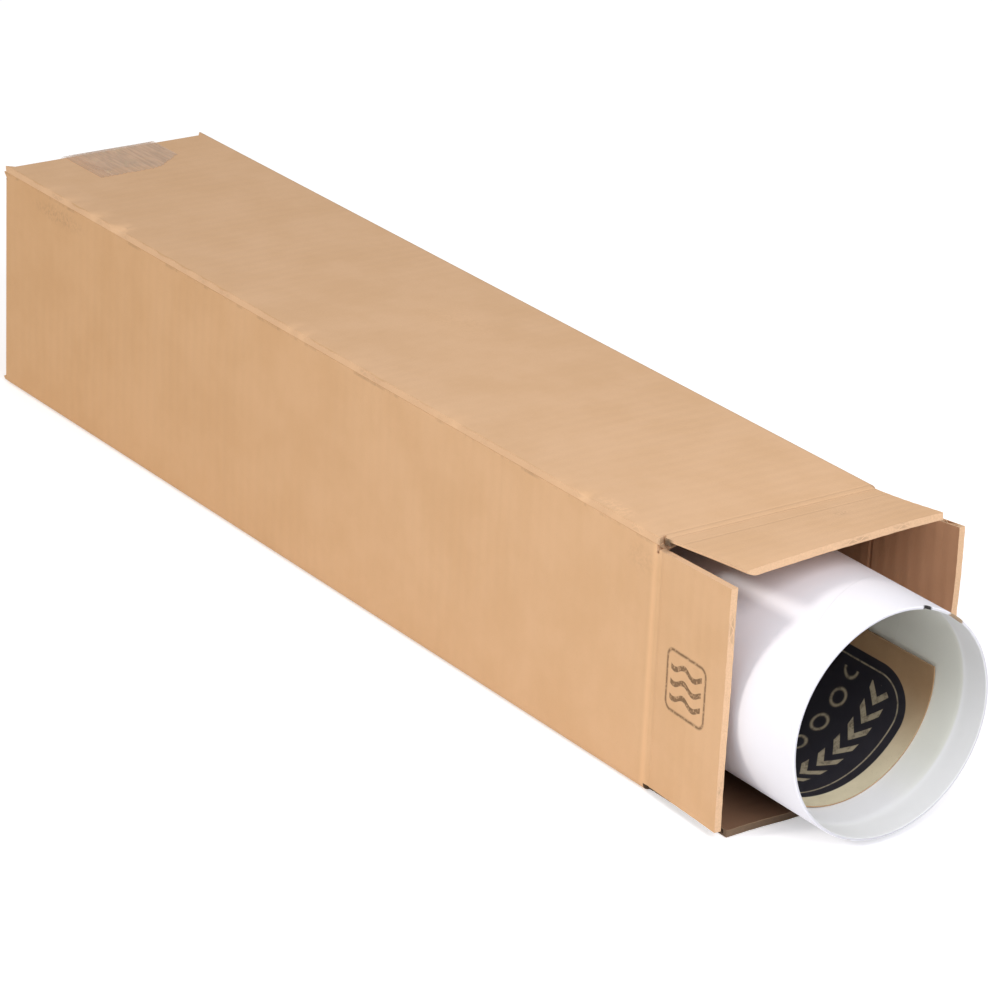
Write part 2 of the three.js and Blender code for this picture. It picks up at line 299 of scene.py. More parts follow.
def folded_line(corners, radii, shares, fold_steps):
    """A line through corners with rounded folds: even legs, then quarter circles between them.

    shares lists, for each leg, the parts of its length at which it has a point.
    """
    corners = [np.array(corner, float) for corner in corners]
    radii = [0, *radii, 0]
    headings = [(q - p) / np.linalg.norm(q - p) for p, q in zip(corners, corners[1:])]
    line = []
    for leg, heading in enumerate(headings):
        start = corners[leg] + heading * radii[leg]
        end = corners[leg + 1] - heading * radii[leg + 1]
        line.append(start + np.asarray(shares[leg])[:, None] * (end - start))
        if leg + 1 < len(headings):
            radius, onward = radii[leg + 1], headings[leg + 1]
            centre = corners[leg + 1] + (onward - heading) * radius
            swing = np.linspace(0, np.pi / 2, fold_steps + 1)[1:-1, None]
            line.append(centre + radius * (heading * np.sin(swing) - onward * np.cos(swing)))
    return np.concatenate(line)


class Shader:
    """A short way to add nodes to a tree and join them."""

    def __init__(self, tree):
        self.tree = tree

    def add(self, kind, *inputs, out=0, settings=None, **named):
        """A node with its inputs set or joined, in order or by name. Gives back one of its outputs."""
        node = self.tree.nodes.new(kind)
        for name, value in (settings or {}).items():
            setattr(node, name, value)
        for key, value in [*enumerate(inputs), *named.items()]:
            socket = node.inputs[key.replace("_", " ") if isinstance(key, str) else key]
            if isinstance(value, bpy.types.NodeSocket):
                self.tree.links.new(value, socket)
            elif value is not None:
                socket.default_value = value
        return node.outputs[out] if len(node.outputs) else node

    def math(self, operation, *values, clamp=False):
        """One sum on values."""
        return self.add("ShaderNodeMath", *values, settings={"operation": operation, "use_clamp": clamp})

    def ramp(self, value, low, high, bottom=0.0, top=1.0):
        """value from low to high becomes bottom to top, smoothly and without passing either."""
        return self.add(
            "ShaderNodeMapRange", value, low, high, bottom, top,
            settings={"interpolation_type": "SMOOTHSTEP", "clamp": True},
        )

    def blend(self, share, first, second, mode="MIX"):
        """One colour turned into another where share is 1."""
        node = self.tree.nodes.new("ShaderNodeMix")
        node.data_type = "RGBA"
        node.blend_type = mode
        for key, value in ((0, share), (6, first), (7, second)):
            if isinstance(value, bpy.types.NodeSocket):
                self.tree.links.new(value, node.inputs[key])
            else:
                node.inputs[key].default_value = value if key == 0 else (*value[:3], 1)
        return node.outputs[2]

    def split(self, vector):
        """The three parts of a vector."""
        node = self.tree.nodes.new("ShaderNodeSeparateXYZ")
        self.tree.links.new(vector, node.inputs[0])
        return node.outputs

    def stretch(self, vector, scale):
        """A vector with each part multiplied."""
        return self.add("ShaderNodeVectorMath", vector, scale, settings={"operation": "MULTIPLY"})

    def noise(self, vector, scale, detail=3.0, roughness=0.55):
        """Soft noise between 0 and 1."""
        return self.add("ShaderNodeTexNoise", Vector=vector, Scale=scale, Detail=detail, Roughness=roughness)

    def near(self, value, centre, width):
        """1 where value is at centre, falling to 0 a width away."""
        away = self.math("ABSOLUTE", self.math("SUBTRACT", value, centre))
        return self.ramp(away, 0.0, width, 1.0, 0.0)

    def group(self, tree, **named):
        """A placed node group."""
        node = self.tree.nodes.new("ShaderNodeGroup")
        node.node_tree = tree
        for key, value in named.items():
            socket = node.inputs[key.replace("_", " ")]
            if isinstance(value, bpy.types.NodeSocket):
                self.tree.links.new(value, socket)
            else:
                socket.default_value = value
        return node.outputs

    def lift(self, height, distance, normal=None):
        """A normal bent by a height."""
        return self.add("ShaderNodeBump", Strength=1.0, Distance=distance, Height=height, Normal=normal)


def new_group(name, inputs, outputs):
    """An empty node group with named sockets, its shader helper, its inputs and its output node."""
    tree = bpy.data.node_groups.new(name, "ShaderNodeTree")
    for label, kind, default in inputs:
        socket = tree.interface.new_socket(label, in_out="INPUT", socket_type=kind)
        if default is not None:
            socket.default_value = default
    for label, kind in outputs:
        tree.interface.new_socket(label, in_out="OUTPUT", socket_type=kind)
    shader = Shader(tree)
    entry = tree.nodes.new("NodeGroupInput")
    result = tree.nodes.new("NodeGroupOutput")
    return tree, shader, entry.outputs, result.inputs


def fibre_group():
    """Paper: slow mottling, fine flecks drawn out along the sheet, and the height of its fibres."""
    tree, shader, given, result = new_group(
        "Paper fibres",
        [("Vector", "NodeSocketVector", None), ("Fineness", "NodeSocketFloat", 1.0)],
        [("Mottle", "NodeSocketFloat"), ("Fleck", "NodeSocketFloat"), ("Height", "NodeSocketFloat")],
    )
    scaled = shader.add(
        "ShaderNodeVectorMath", given[0], settings={"operation": "SCALE"}, Scale=given[1]
    )
    cloud = shader.noise(scaled, 34.0, 4.0, 0.6)
    drawn = shader.stretch(scaled, (1.0, 3.2, 1.0))
    fleck = shader.noise(drawn, 900.0, 2.0, 0.7)
    fibre = shader.noise(drawn, 2600.0, 2.0, 0.8)
    links = tree.links
    links.new(shader.ramp(cloud, 0.3, 0.7, -1.0, 1.0), result[0])
    links.new(shader.ramp(fleck, 0.60, 0.78), result[1])
    links.new(fibre, result[2])
    return tree


def flute_group():
    """The wave inside the board as it shows through the liner: bands one pitch apart, stronger in places."""
    tree, shader, given, result = new_group(
        "Flute lines",
        [
            ("Along", "NodeSocketFloat", 0.0), ("Vector", "NodeSocketVector", None),
            ("Pitch", "NodeSocketFloat", 0.0065),
        ],
        [("Band", "NodeSocketFloat"), ("Strength", "NodeSocketFloat")],
    )
    wander = shader.noise(given[1], 22.0, 2.0)
    shift = shader.math("MULTIPLY_ADD", wander, 0.004, given[0])
    phase = shader.math("MULTIPLY", shader.math("DIVIDE", shift, given[2]), 2 * math.pi)
    band = shader.math("MULTIPLY_ADD", shader.math("COSINE", phase), 0.5, 0.5)
    patches = shader.ramp(shader.noise(given[1], 13.0, 3.0), 0.36, 0.66, 0.25, 1.0)
    tree.links.new(band, result[0])
    tree.links.new(patches, result[1])
    return tree


def scuff_group():
    """One rubbed place: a soft spot round a centre, broken up by the grain of the paper."""
    tree, shader, given, result = new_group(
        "Scuff",
        [
            ("Vector", "NodeSocketVector", None), ("Centre", "NodeSocketVector", None),
            ("Size", "NodeSocketVector", (0.01, 0.01, 0.01)), ("Grain", "NodeSocketFloat", 1.0),
        ],
        [("Mask", "NodeSocketFloat")],
    )
    away = shader.add("ShaderNodeVectorMath", given[0], given[1], settings={"operation": "SUBTRACT"})
    away = shader.add("ShaderNodeVectorMath", away, given[2], settings={"operation": "DIVIDE"})
    reach = shader.add("ShaderNodeVectorMath", away, settings={"operation": "LENGTH"}, out=1)
    spot = shader.ramp(reach, 0.2, 1.0, 1.0, 0.0)
    grain = shader.ramp(shader.noise(given[0], 620.0, 3.0, 0.7), 0.42, 0.62)
    broken = shader.math("SUBTRACT", 1.0, shader.math("MULTIPLY", given[3], shader.math("SUBTRACT", 1.0, grain)))
    tree.links.new(shader.math("MULTIPLY", spot, broken), result[0])
    return tree


def box_group():
    """How far a point lies outside a rectangle with round corners: negative inside it."""
    tree, shader, given, result = new_group(
        "Round box",
        [
            ("X", "NodeSocketFloat", 0.0), ("Y", "NodeSocketFloat", 0.0),
            ("Centre X", "NodeSocketFloat", 0.0), ("Centre Y", "NodeSocketFloat", 0.0),
            ("Half X", "NodeSocketFloat", 0.01), ("Half Y", "NodeSocketFloat", 0.01),
            ("Round", "NodeSocketFloat", 0.002),
        ],
        [("Distance", "NodeSocketFloat")],
    )

    def beyond(value, centre, half):
        away = shader.math("ABSOLUTE", shader.math("SUBTRACT", value, centre))
        return shader.math("ADD", shader.math("SUBTRACT", away, half), given[6])

    across = beyond(given[0], given[2], given[4])
    along = beyond(given[1], given[3], given[5])
    outside = shader.add(
        "ShaderNodeVectorMath",
        shader.add("ShaderNodeCombineXYZ", shader.math("MAXIMUM", across, 0.0), shader.math("MAXIMUM", along, 0.0)),
        settings={"operation": "LENGTH"}, out=1,
    )
    inside = shader.math("MINIMUM", shader.math("MAXIMUM", across, along), 0.0)
    tree.links.new(shader.math("SUBTRACT", shader.math("ADD", outside, inside), given[6]), result[0])
    return tree


def group(name, make):
    """A node group by its name, built the first time it is asked for."""
    return bpy.data.node_groups.get(name) or make()


def new_material(name, roughness=0.85, **plain_values):
    """A material with one Principled shader. Gives back the material, its helper and that shader."""
    material = bpy.data.materials.new(name)
    material.use_nodes = True
    tree = material.node_tree
    principled = tree.nodes["Principled BSDF"]
    principled.inputs["Roughness"].default_value = roughness
    for key, value in plain_values.items():
        principled.inputs[key.replace("_", " ")].default_value = value
    return material, Shader(tree), principled


def finish_material(shader, principled, colour_socket=None, normal=None, rough=None, alpha=None):
    """Joins what varies over the surface to the material's shader."""
    joins = (("Base Color", colour_socket), ("Normal", normal), ("Roughness", rough), ("Alpha", alpha))
    for key, socket in joins:
        if socket is not None:
            shader.tree.links.new(socket, principled.inputs[key])


def kraft_paper(shader, here, board, base, pale=1.0):
    """The colour and height of a kraft liner: mottling, flecks and the flutes under it."""
    fibres = shader.group(group("Paper fibres", fibre_group), Vector=here)
    flutes = shader.group(
        group("Flute lines", flute_group), Along=shader.split(here)[1], Vector=here, Pitch=board.pitch
    )
    dark = (base[0] * 0.965, base[1] * 0.955, base[2] * 0.93)
    light = (base[0] * 1.02, base[1] * 1.03, base[2] * 1.05)
    tone = shader.blend(shader.math("MULTIPLY_ADD", fibres[0], 0.5, 0.5), dark, light)
    shade = shader.math("MULTIPLY", flutes[0], shader.math("MULTIPLY", flutes[1], 0.09 * pale))
    tone = shader.blend(shade, tone, tuple(part * 0.8 for part in base))
    tone = shader.blend(shader.math("MULTIPLY", fibres[1], 0.25), tone, tuple(part * 0.6 for part in base))
    swell = shader.math("MULTIPLY", flutes[0], flutes[1])
    height = shader.math("MULTIPLY_ADD", fibres[2], 0.35, shader.math("MULTIPLY", swell, 0.6 * pale))
    return tone, height


def outer_kraft(board):
    """The outer liner: creases and score lines, a painted highlight along the left crease, scuffs, paler torn paper
    at the seam, painted shade under the seam's raw edge, and painted shade over the left side, darker towards the far
    end.
    """
    material, shader, principled = new_material("kraft outer liner", 0.82)
    here = shader.add("ShaderNodeTexCoord", out=3)
    x, y, z = shader.split(here)
    tone, height = kraft_paper(shader, here, board, tuple(board.outer_colour))
    scores = shader.math("ADD", shader.near(y, Y_CREASE + 0.0034, 0.0011), shader.near(y, Y_CREASE - 0.0088, 0.0012))
    on_top = shader.ramp(z, TOP - 0.002, TOP - 0.001)
    scores = shader.math("MULTIPLY", scores, shader.math("MULTIPLY_ADD", on_top, 0.75, 0.25))
    tone = shader.blend(shader.math("MULTIPLY", scores, 0.22), tone, tuple(part * 0.8 for part in board.outer_colour))
    on_left = shader.ramp(x, 0.001 - HALF, -HALF, 0.0, 1.0)
    # Painted highlight: a paler band along the left crease, for the light caught by the rounded fold. The pale colour
    # serves both this painted highlight and the torn paper at the seam.
    band = shader.math("MULTIPLY", shader.near(y, Y_CREASE + 0.0036, 0.0030), on_left)
    pale = tuple(min(1.0, part * 1.22) for part in board.outer_colour)
    tone = shader.blend(shader.math("MULTIPLY", band, 0.55), tone, pale)
    scuffs = (
        ((0.019, Y_CREASE - 0.017, TOP), (0.006, 0.0035, 0.01), 0.5, 0.62),
        ((-HALF + 0.004, Y_CREASE + 0.034, TOP), (0.006, 0.016, 0.008), 0.5, 1.25),
        ((-HALF, Y_CREASE + 0.012, TOP - 0.012), (0.004, 0.012, 0.009), 0.35, 0.78),
        ((0.012, Y_CREASE + 0.23, TOP), (0.02, 0.03, 0.01), 0.22, 1.16),
        ((-HALF, Y_END - 0.05, TOP - 0.01), (0.004, 0.03, 0.006), 0.45, 0.66),
    )
    for centre, size, share, strength in scuffs:
        mask = shader.group(group("Scuff", scuff_group), Vector=here, Centre=centre, Size=size)[0]
        rubbed = tuple(min(1.0, part * strength) for part in board.outer_colour)
        tone = shader.blend(shader.math("MULTIPLY", mask, share), tone, rubbed)
    # Painted shade under the raw edge at the seam, broken into places along it.
    seam_hollow_shade = shader.math("MULTIPLY", on_left, shader.near(z, TOP - 0.0037, 0.0010))
    gaps = shader.ramp(shader.noise(shader.stretch(here, (0.0, 1.0, 0.0)), 27.0, 6.0, 0.8), 0.47, 0.62)
    seam_shade_colour = tuple(part * 0.42 for part in board.outer_colour)
    tone = shader.blend(shader.math("MULTIPLY", shader.math("MULTIPLY", seam_hollow_shade, gaps), 0.45), tone, seam_shade_colour)
    seam = shader.math("MULTIPLY", shader.near(x, -HALF, 0.0020), shader.near(z, TOP - 0.0008, 0.0040))
    torn = shader.ramp(shader.noise(shader.stretch(here, (1, 0.45, 1)), 240.0, 3.0, 0.65), 0.5, 0.62)
    tone = shader.blend(shader.math("MULTIPLY", shader.math("MULTIPLY", seam, torn), 0.3), tone, pale)
    # Painted shade over the left side: darker and warmer, more so towards the far end, for the light that falls off
    # along the carton.
    painted_side_shade = shader.math("MULTIPLY", on_left, shader.ramp(y, Y_CREASE + 0.05, Y_END, 0.5, 1.0))
    tone = shader.blend(painted_side_shade, tone, (0.90, 0.84, 0.72), "MULTIPLY")
    height = shader.math("SUBTRACT", height, shader.math("MULTIPLY", scores, 1.4))
    finish_material(shader, principled, tone, shader.lift(height, 0.00012))
    return material


def inner_kraft(board):
    """The inner liner: rougher, darker kraft with the flutes showing more, and painted shade on the bottom near the
    front.
    """
    material, shader, principled = new_material("kraft inner liner", 0.9)
    here = shader.add("ShaderNodeTexCoord", out=3)
    tone, height = kraft_paper(shader, here, board, tuple(board.inner_colour), 1.2)
    _, y, z = shader.split(here)
    # Painted shade on the bottom's inner face, strongest at the front crease, where the tube and the left flap shade
    # it.
    low = shader.math("MULTIPLY", shader.ramp(z, 0.0034, 0.0040, 1.0, 0.0), shader.ramp(y, Y_CREASE, Y_CREASE + 0.06, 1.0, 0.3))
    tone = shader.blend(shader.math("MULTIPLY", low, 0.9), tone, tuple(part * 0.35 for part in board.inner_colour))
    finish_material(shader, principled, tone, shader.lift(height, 0.00014))
    return material


def cut_board(board):
    """A cut through the board: two liners and the wave between them, mostly crushed shut. Painted shade fills the
    open flutes, the start of the slots and the low cut edges at the front.
    """
    material, shader, principled = new_material("cut board edge", 0.92)
    here = shader.add("ShaderNodeTexCoord", out=3)
    along, across, _ = shader.split(shader.add("ShaderNodeUVMap", settings={"uv_map": "sheet"}))
    phase = shader.math("MULTIPLY", along, 2 * math.pi / board.pitch)
    swing = (board.thickness - 2 * board.liner - board.medium) / (2 * board.thickness)
    centre = shader.math("MULTIPLY_ADD", shader.math("COSINE", phase), swing, 0.5)
    from_wave = shader.math("ABSOLUTE", shader.math("SUBTRACT", across, centre))
    hollow = shader.ramp(from_wave, board.medium / board.thickness * 0.6, board.medium / board.thickness * 1.5)
    from_middle = shader.math("ABSOLUTE", shader.math("SUBTRACT", across, 0.5))
    between = shader.ramp(from_middle, 0.5 - 1.6 * board.liner / board.thickness, 0.5 - board.liner / board.thickness, 1.0, 0.0)
    crushed = shader.ramp(shader.noise(here, 60.0, 3.0), 0.54, 0.68)
    # Painted shade in the hollows of the open flutes, on a flat cut face.
    open_flute_shade = shader.math("MULTIPLY", shader.math("MULTIPLY", hollow, between), crushed)
    grain = shader.noise(here, 1400.0, 3.0, 0.7)
    base = tuple(board.edge_colour)
    tone = shader.blend(shader.ramp(grain, 0.3, 0.7), tuple(part * 0.92 for part in base), tuple(part * 1.06 for part in base))
    x, y, z = shader.split(here)
    raw = shader.math("MULTIPLY", shader.ramp(x, 0.001 - HALF, 0.002 - HALF, 1.0, 0.0), shader.ramp(y, Y_CREASE + 0.002, Y_CREASE + 0.006))
    tone = shader.blend(shader.math("MULTIPLY", raw, 0.8), tone, tuple(board.outer_colour))
    open_flute_shade = shader.math("MULTIPLY", open_flute_shade, shader.math("MULTIPLY_ADD", raw, -0.25, 0.4))
    tone = shader.blend(open_flute_shade, tone, tuple(part * 0.35 for part in base))
    # Painted shade on the low cut edges at the front, such as the bottom flap's tip, which lie in shadow.
    dark = tuple(part * 0.08 for part in base)
    low = shader.math("MULTIPLY", shader.ramp(z, 0.0028, 0.0036, 1.0, 0.0), shader.ramp(y, Y_CREASE + 0.004, Y_CREASE + 0.008, 1.0, 0.0))
    tone = shader.blend(shader.math("MULTIPLY", low, 0.8), tone, dark)
    # Painted shade at the start of each slot, where the slits lie in shadow.
    for side, level in ((-1, TOP - 0.0022), (-1, 0.0015), (1, TOP - 0.0015)):
        slot = shader.group(
            group("Scuff", scuff_group), Vector=here, Centre=(side * (HALF - 0.0024), Y_CREASE - 0.0005, level),
            Size=(0.0050, 0.0044, 0.0042), Grain=0.0,
        )[0]
        tone = shader.blend(shader.math("MULTIPLY", slot, 0.9), tone, dark)
    finish_material(shader, principled, tone, shader.lift(grain, 0.0001))
    return material


def printed_flap(board):
    """The left flap's outer liner: kraft with one plain printed mark, a round-cornered frame round waves."""
    material, shader, principled = new_material("kraft printed liner", 0.82)
    here = shader.add("ShaderNodeTexCoord", out=3)
    _, y, z = shader.split(here)
    tone, height = kraft_paper(shader, here, board, tuple(board.outer_colour))
    middle_y, middle_z, half, line = Y_CREASE - 0.0205, 0.053, 0.0135, 0.0011
    frame_box = shader.group(
        group("Round box", box_group), X=y, Y=z,
        Centre_X=middle_y, Centre_Y=middle_z, Half_X=half, Half_Y=half, Round=0.0045,
    )[0]
    border = shader.near(frame_box, -line, line)
    inside = shader.ramp(frame_box, -0.0038, -0.0032, 1.0, 0.0)
    sway = shader.math("MULTIPLY", shader.math("SINE", shader.math("MULTIPLY", y, 2 * math.pi / 0.0125)), 0.0012)
    rise = shader.math("SUBTRACT", shader.math("ADD", z, sway), middle_z)
    stripes = shader.math("COSINE", shader.math("MULTIPLY", rise, 2 * math.pi / 0.0062))
    waves = shader.math("MULTIPLY", shader.ramp(stripes, 0.25, 0.55), inside)
    grain = shader.ramp(shader.noise(here, 700.0, 3.0, 0.7), 0.32, 0.52, 0.35, 1.0)
    ink = shader.math("MULTIPLY", shader.math("MAXIMUM", border, waves), grain)
    tone = shader.blend(shader.math("MULTIPLY", ink, 0.88), tone, tuple(board.ink_colour))
    # Painted shade: the left side's darker, warmer tone, at its share at the front end.
    tone = shader.blend(0.5, tone, (0.90, 0.84, 0.72), "MULTIPLY")
    finish_material(shader, principled, tone, shader.lift(height, 0.00012))
    return material


def tape_film(tape):
    """Translucent brown film: glossy, with fine lengthwise drawing and paler places where air is trapped."""
    material, shader, principled = new_material("packing tape film", 0.28, Coat_Weight=0.25)
    here = shader.add("ShaderNodeTexCoord", out=3)
    drawn = shader.noise(shader.stretch(here, (9.0, 1.0, 1.0)), 90.0, 3.0)
    air = shader.ramp(shader.noise(here, 130.0, 4.0, 0.65), 0.56, 0.70)
    base = tuple(tape.colour)
    tone = shader.blend(shader.ramp(drawn, 0.35, 0.65), tuple(part * 0.88 for part in base), tuple(part * 1.12 for part in base))
    tone = shader.blend(shader.math("MULTIPLY", air, 0.4), tone, tuple(min(1, part * 1.7) for part in base))
    lifted = shader.ramp(shader.split(here)[0], TAPE_LOW.x, TAPE_LOW.x + 0.012, 0.5, 0.0)
    cover = shader.math("MULTIPLY_ADD", air, -0.12, tape.alpha)
    cover = shader.math("SUBTRACT", cover, shader.math("MULTIPLY", lifted, tape.alpha))
    finish_material(shader, principled, tone, shader.lift(drawn, 0.00006), alpha=cover)
    return material


def tube_paper(name, tube, base, rim_marks):
    """White wound paper: a faint spiral joint, soft grain, and brown plies where the rim is chipped. Inside, a
    painted reflection turns one side yellower.
    """
    material, shader, principled = new_material(name, 0.58)
    here = shader.add("ShaderNodeTexCoord", out=3)
    around, along, _ = shader.split(shader.add("ShaderNodeUVMap", settings={"uv_map": "sheet"}))
    slope = tube.winding / (2 * math.pi * TUBE_RADIUS)
    spiral = shader.math("MULTIPLY_ADD", around, slope, along)
    lap = shader.math("ABSOLUTE", shader.math("SUBTRACT", shader.math("FRACT", shader.math("DIVIDE", spiral, tube.winding)), 0.5))
    joint = shader.ramp(lap, 0.0, 0.0035, 1.0, 0.0)
    fibres = shader.group(group("Paper fibres", fibre_group), Vector=here, Fineness=0.8)
    base = tuple(base)
    tone = shader.blend(shader.math("MULTIPLY_ADD", fibres[0], 0.5, 0.5), tuple(part * 0.975 for part in base), base)
    tone = shader.blend(shader.math("MULTIPLY", joint, 0.10), tone, tuple(part * 0.7 for part in base))
    y = shader.split(here)[1]
    if rim_marks:
        lip = shader.ramp(y, TUBE_LOW.y, TUBE_LOW.y + 0.0012, 1.0, 0.0)
        chips = shader.ramp(shader.noise(here, 70.0, 4.0, 0.7), 0.60, 0.68)
        tone = shader.blend(shader.math("MULTIPLY", shader.math("MULTIPLY", lip, chips), 0.45), tone, tuple(tube.ply_colour))
    else:
        ring = shader.ramp(y, TUBE_LOW.y + tube.seat_depth - 0.0008, TUBE_LOW.y + tube.seat_depth + 0.0008, 1.0, 0.0)
        tone = shader.blend(shader.math("MULTIPLY", ring, 0.8), tone, (0.90, 0.91, 0.90))
        # Painted reflection: the inside turns yellower on the side that faces the kraft sheet and board.
        side = shader.ramp(shader.split(here)[0], TUBE_AXIS.x + 0.012, TUBE_AXIS.x + 0.040)
        side = shader.math("MULTIPLY", side, shader.math("SUBTRACT", 1.0, ring))
        tone = shader.blend(side, tone, (0.88, 0.885, 0.79), "MULTIPLY")
    tone = torn_rim(shader, tube, here, tone)
    height = shader.math("MULTIPLY_ADD", joint, -1.0, shader.math("MULTIPLY", fibres[2], 0.3))
    finish_material(shader, principled, tone, shader.lift(height, 0.00008))
    return material


def torn_rim(shader, tube, here, tone):
    """Two marks at the top of the mouth: a dark nick, and white paper torn off the brown plies beside it."""
    marks = (
        (74, 0.985, (0.0030, 0.0026, 0.0026), 1.0, (0.015, 0.013, 0.012)),
        (54, 0.968, (0.0062, 0.0034, 0.0052), 0.9, (0.33, 0.21, 0.09)),
    )
    for degrees, reach, size, share, shown in marks:
        turned = math.radians(degrees)
        centre = (
            TUBE_AXIS.x + reach * TUBE_RADIUS * math.cos(turned), TUBE_LOW.y,
            TUBE_AXIS.z + reach * TUBE_RADIUS * math.sin(turned),
        )
        mark = shader.group(group("Scuff", scuff_group), Vector=here, Centre=centre, Size=size, Grain=0.3)[0]
        mark = shader.ramp(mark, 0.05, 0.45)
        tone = shader.blend(shader.math("MULTIPLY", mark, share), tone, shown)
    return tone


def tube_rim(tube):
    """The cut end of the tube: pale plies, chipped brown at one place near the top."""
    material, shader, principled = new_material("tube rim", 0.75)
    here = shader.add("ShaderNodeTexCoord", out=3)
    across = shader.split(shader.add("ShaderNodeUVMap", settings={"uv_map": "sheet"}))[1]
    plies = shader.math("COSINE", shader.math("MULTIPLY", across, 2 * math.pi * 4))
    base = tuple(part * 0.97 for part in tube.colour)
    tone = shader.blend(shader.ramp(plies, 0.2, 1.0, 0.0, 0.10), base, tuple(tube.ply_colour))
    tone = torn_rim(shader, tube, here, tone)
    finish_material(shader, principled, tone, shader.lift(plies, 0.00004))
    return material


def printed_sheet(sheet):
    """The inside of the sheet: a dark round-cornered field, a thin pale frame, chevrons and rings, on paper painted
    paler low in the tube and browner higher up, for light and shade.
    """
    material, shader, principled = new_material("printed kraft sheet", 0.62)
    here = shader.add("ShaderNodeTexCoord", out=3)
    around, along, _ = shader.split(shader.add("ShaderNodeUVMap", settings={"uv_map": "sheet"}))
    fibres = shader.group(group("Paper fibres", fibre_group), Vector=here, Fineness=0.9)
    base, ink, motif = tuple(sheet.colour), tuple(sheet.ink_colour), tuple(sheet.motif_colour)
    # Painted light and shade: paler paper low in the tube, where more light reaches, and browner kraft higher up, in
    # shade.
    high = shader.ramp(shader.split(here)[2], 0.004, 0.045)
    tone = shader.blend(high, tuple(sheet.painted_light_colour), base)
    tone = shader.blend(shader.math("MULTIPLY_ADD", fibres[0], 0.25, 0.25), tone, (0.66, 0.64, 0.60), "MULTIPLY")
    tone = shader.blend(shader.math("MULTIPLY", fibres[1], 0.3), tone, tuple(part * 0.6 for part in base))
    middle_arc, middle_y, half_arc, half_y = 0.068, 0.0610, 0.058, 0.0525

    def field(inset):
        return shader.group(
            group("Round box", box_group), X=around, Y=along, Centre_X=middle_arc, Centre_Y=middle_y,
            Half_X=half_arc - inset, Half_Y=half_y - inset, Round=0.020 - inset,
        )[0]

    dark = shader.ramp(field(0.0), -0.0002, 0.0002, 1.0, 0.0)
    frame_line = shader.near(field(0.0042), 0.0, 0.0006)
    inside = shader.ramp(field(0.0085), -0.0002, 0.0002, 1.0, 0.0)
    slant = shader.math("ABSOLUTE", shader.math("SUBTRACT", along, 0.0265))
    stripes = shader.math("COSINE", shader.math("MULTIPLY", shader.math("ADD", around, slant), 2 * math.pi / 0.0085))
    chevrons = shader.math("MULTIPLY", shader.ramp(stripes, 0.05, 0.35), shader.ramp(slant, 0.0055, 0.0059, 1.0, 0.0))
    cell = shader.math("SUBTRACT", shader.math("FRACT", shader.math("DIVIDE", around, 0.0125)), 0.5)
    ring_x = shader.math("MULTIPLY", cell, 0.0125)
    ring_y = shader.math("SUBTRACT", along, 0.0445)
    reach = shader.math("SQRT", shader.math("ADD", shader.math("POWER", ring_x, 2.0), shader.math("POWER", ring_y, 2.0)))
    rings = shader.near(reach, 0.0036, 0.0012)
    bars = shader.math("MULTIPLY", shader.near(along, 0.0585, 0.0018), shader.ramp(shader.math("SINE", shader.math("MULTIPLY", around, 330.0)), -0.2, 0.1))
    pale = shader.math("MAXIMUM", shader.math("MAXIMUM", chevrons, rings), bars)
    pale = shader.math("MAXIMUM", shader.math("MULTIPLY", pale, inside), frame_line)
    worn = shader.ramp(shader.noise(here, 320.0, 3.0, 0.7), 0.3, 0.55, 0.4, 1.0)
    tone = shader.blend(dark, tone, ink)
    tone = shader.blend(shader.math("MULTIPLY", shader.math("MULTIPLY", pale, dark), worn), tone, motif)
    finish_material(shader, principled, tone, shader.lift(fibres[2], 0.00005))
    return material


def bare_sheet(sheet):
    """The outside of the sheet and its cut edges: bare kraft paper."""
    material, shader, principled = new_material("bare kraft sheet", 0.8)
    here = shader.add("ShaderNodeTexCoord", out=3)
    fibres = shader.group(group("Paper fibres", fibre_group), Vector=here, Fineness=0.9)
    base = tuple(sheet.colour)
    tone = shader.blend(shader.math("MULTIPLY_ADD", fibres[0], 0.5, 0.5), tuple(part * 0.85 for part in base), tuple(part * 1.12 for part in base))
    finish_material(shader, principled, tone, shader.lift(fibres[2], 0.00005))
    return material


def material_of(name, make, *values):
    """A material by its name, built the first time it is asked for."""
    return bpy.data.materials.get(name) or make(*values)


def board_materials(board):
    """Outer liner, inner liner and cut edge."""
    return [
        material_of("kraft outer liner", outer_kraft, board),
        material_of("kraft inner liner", inner_kraft, board),
        material_of("cut board edge", cut_board, board),
    ]


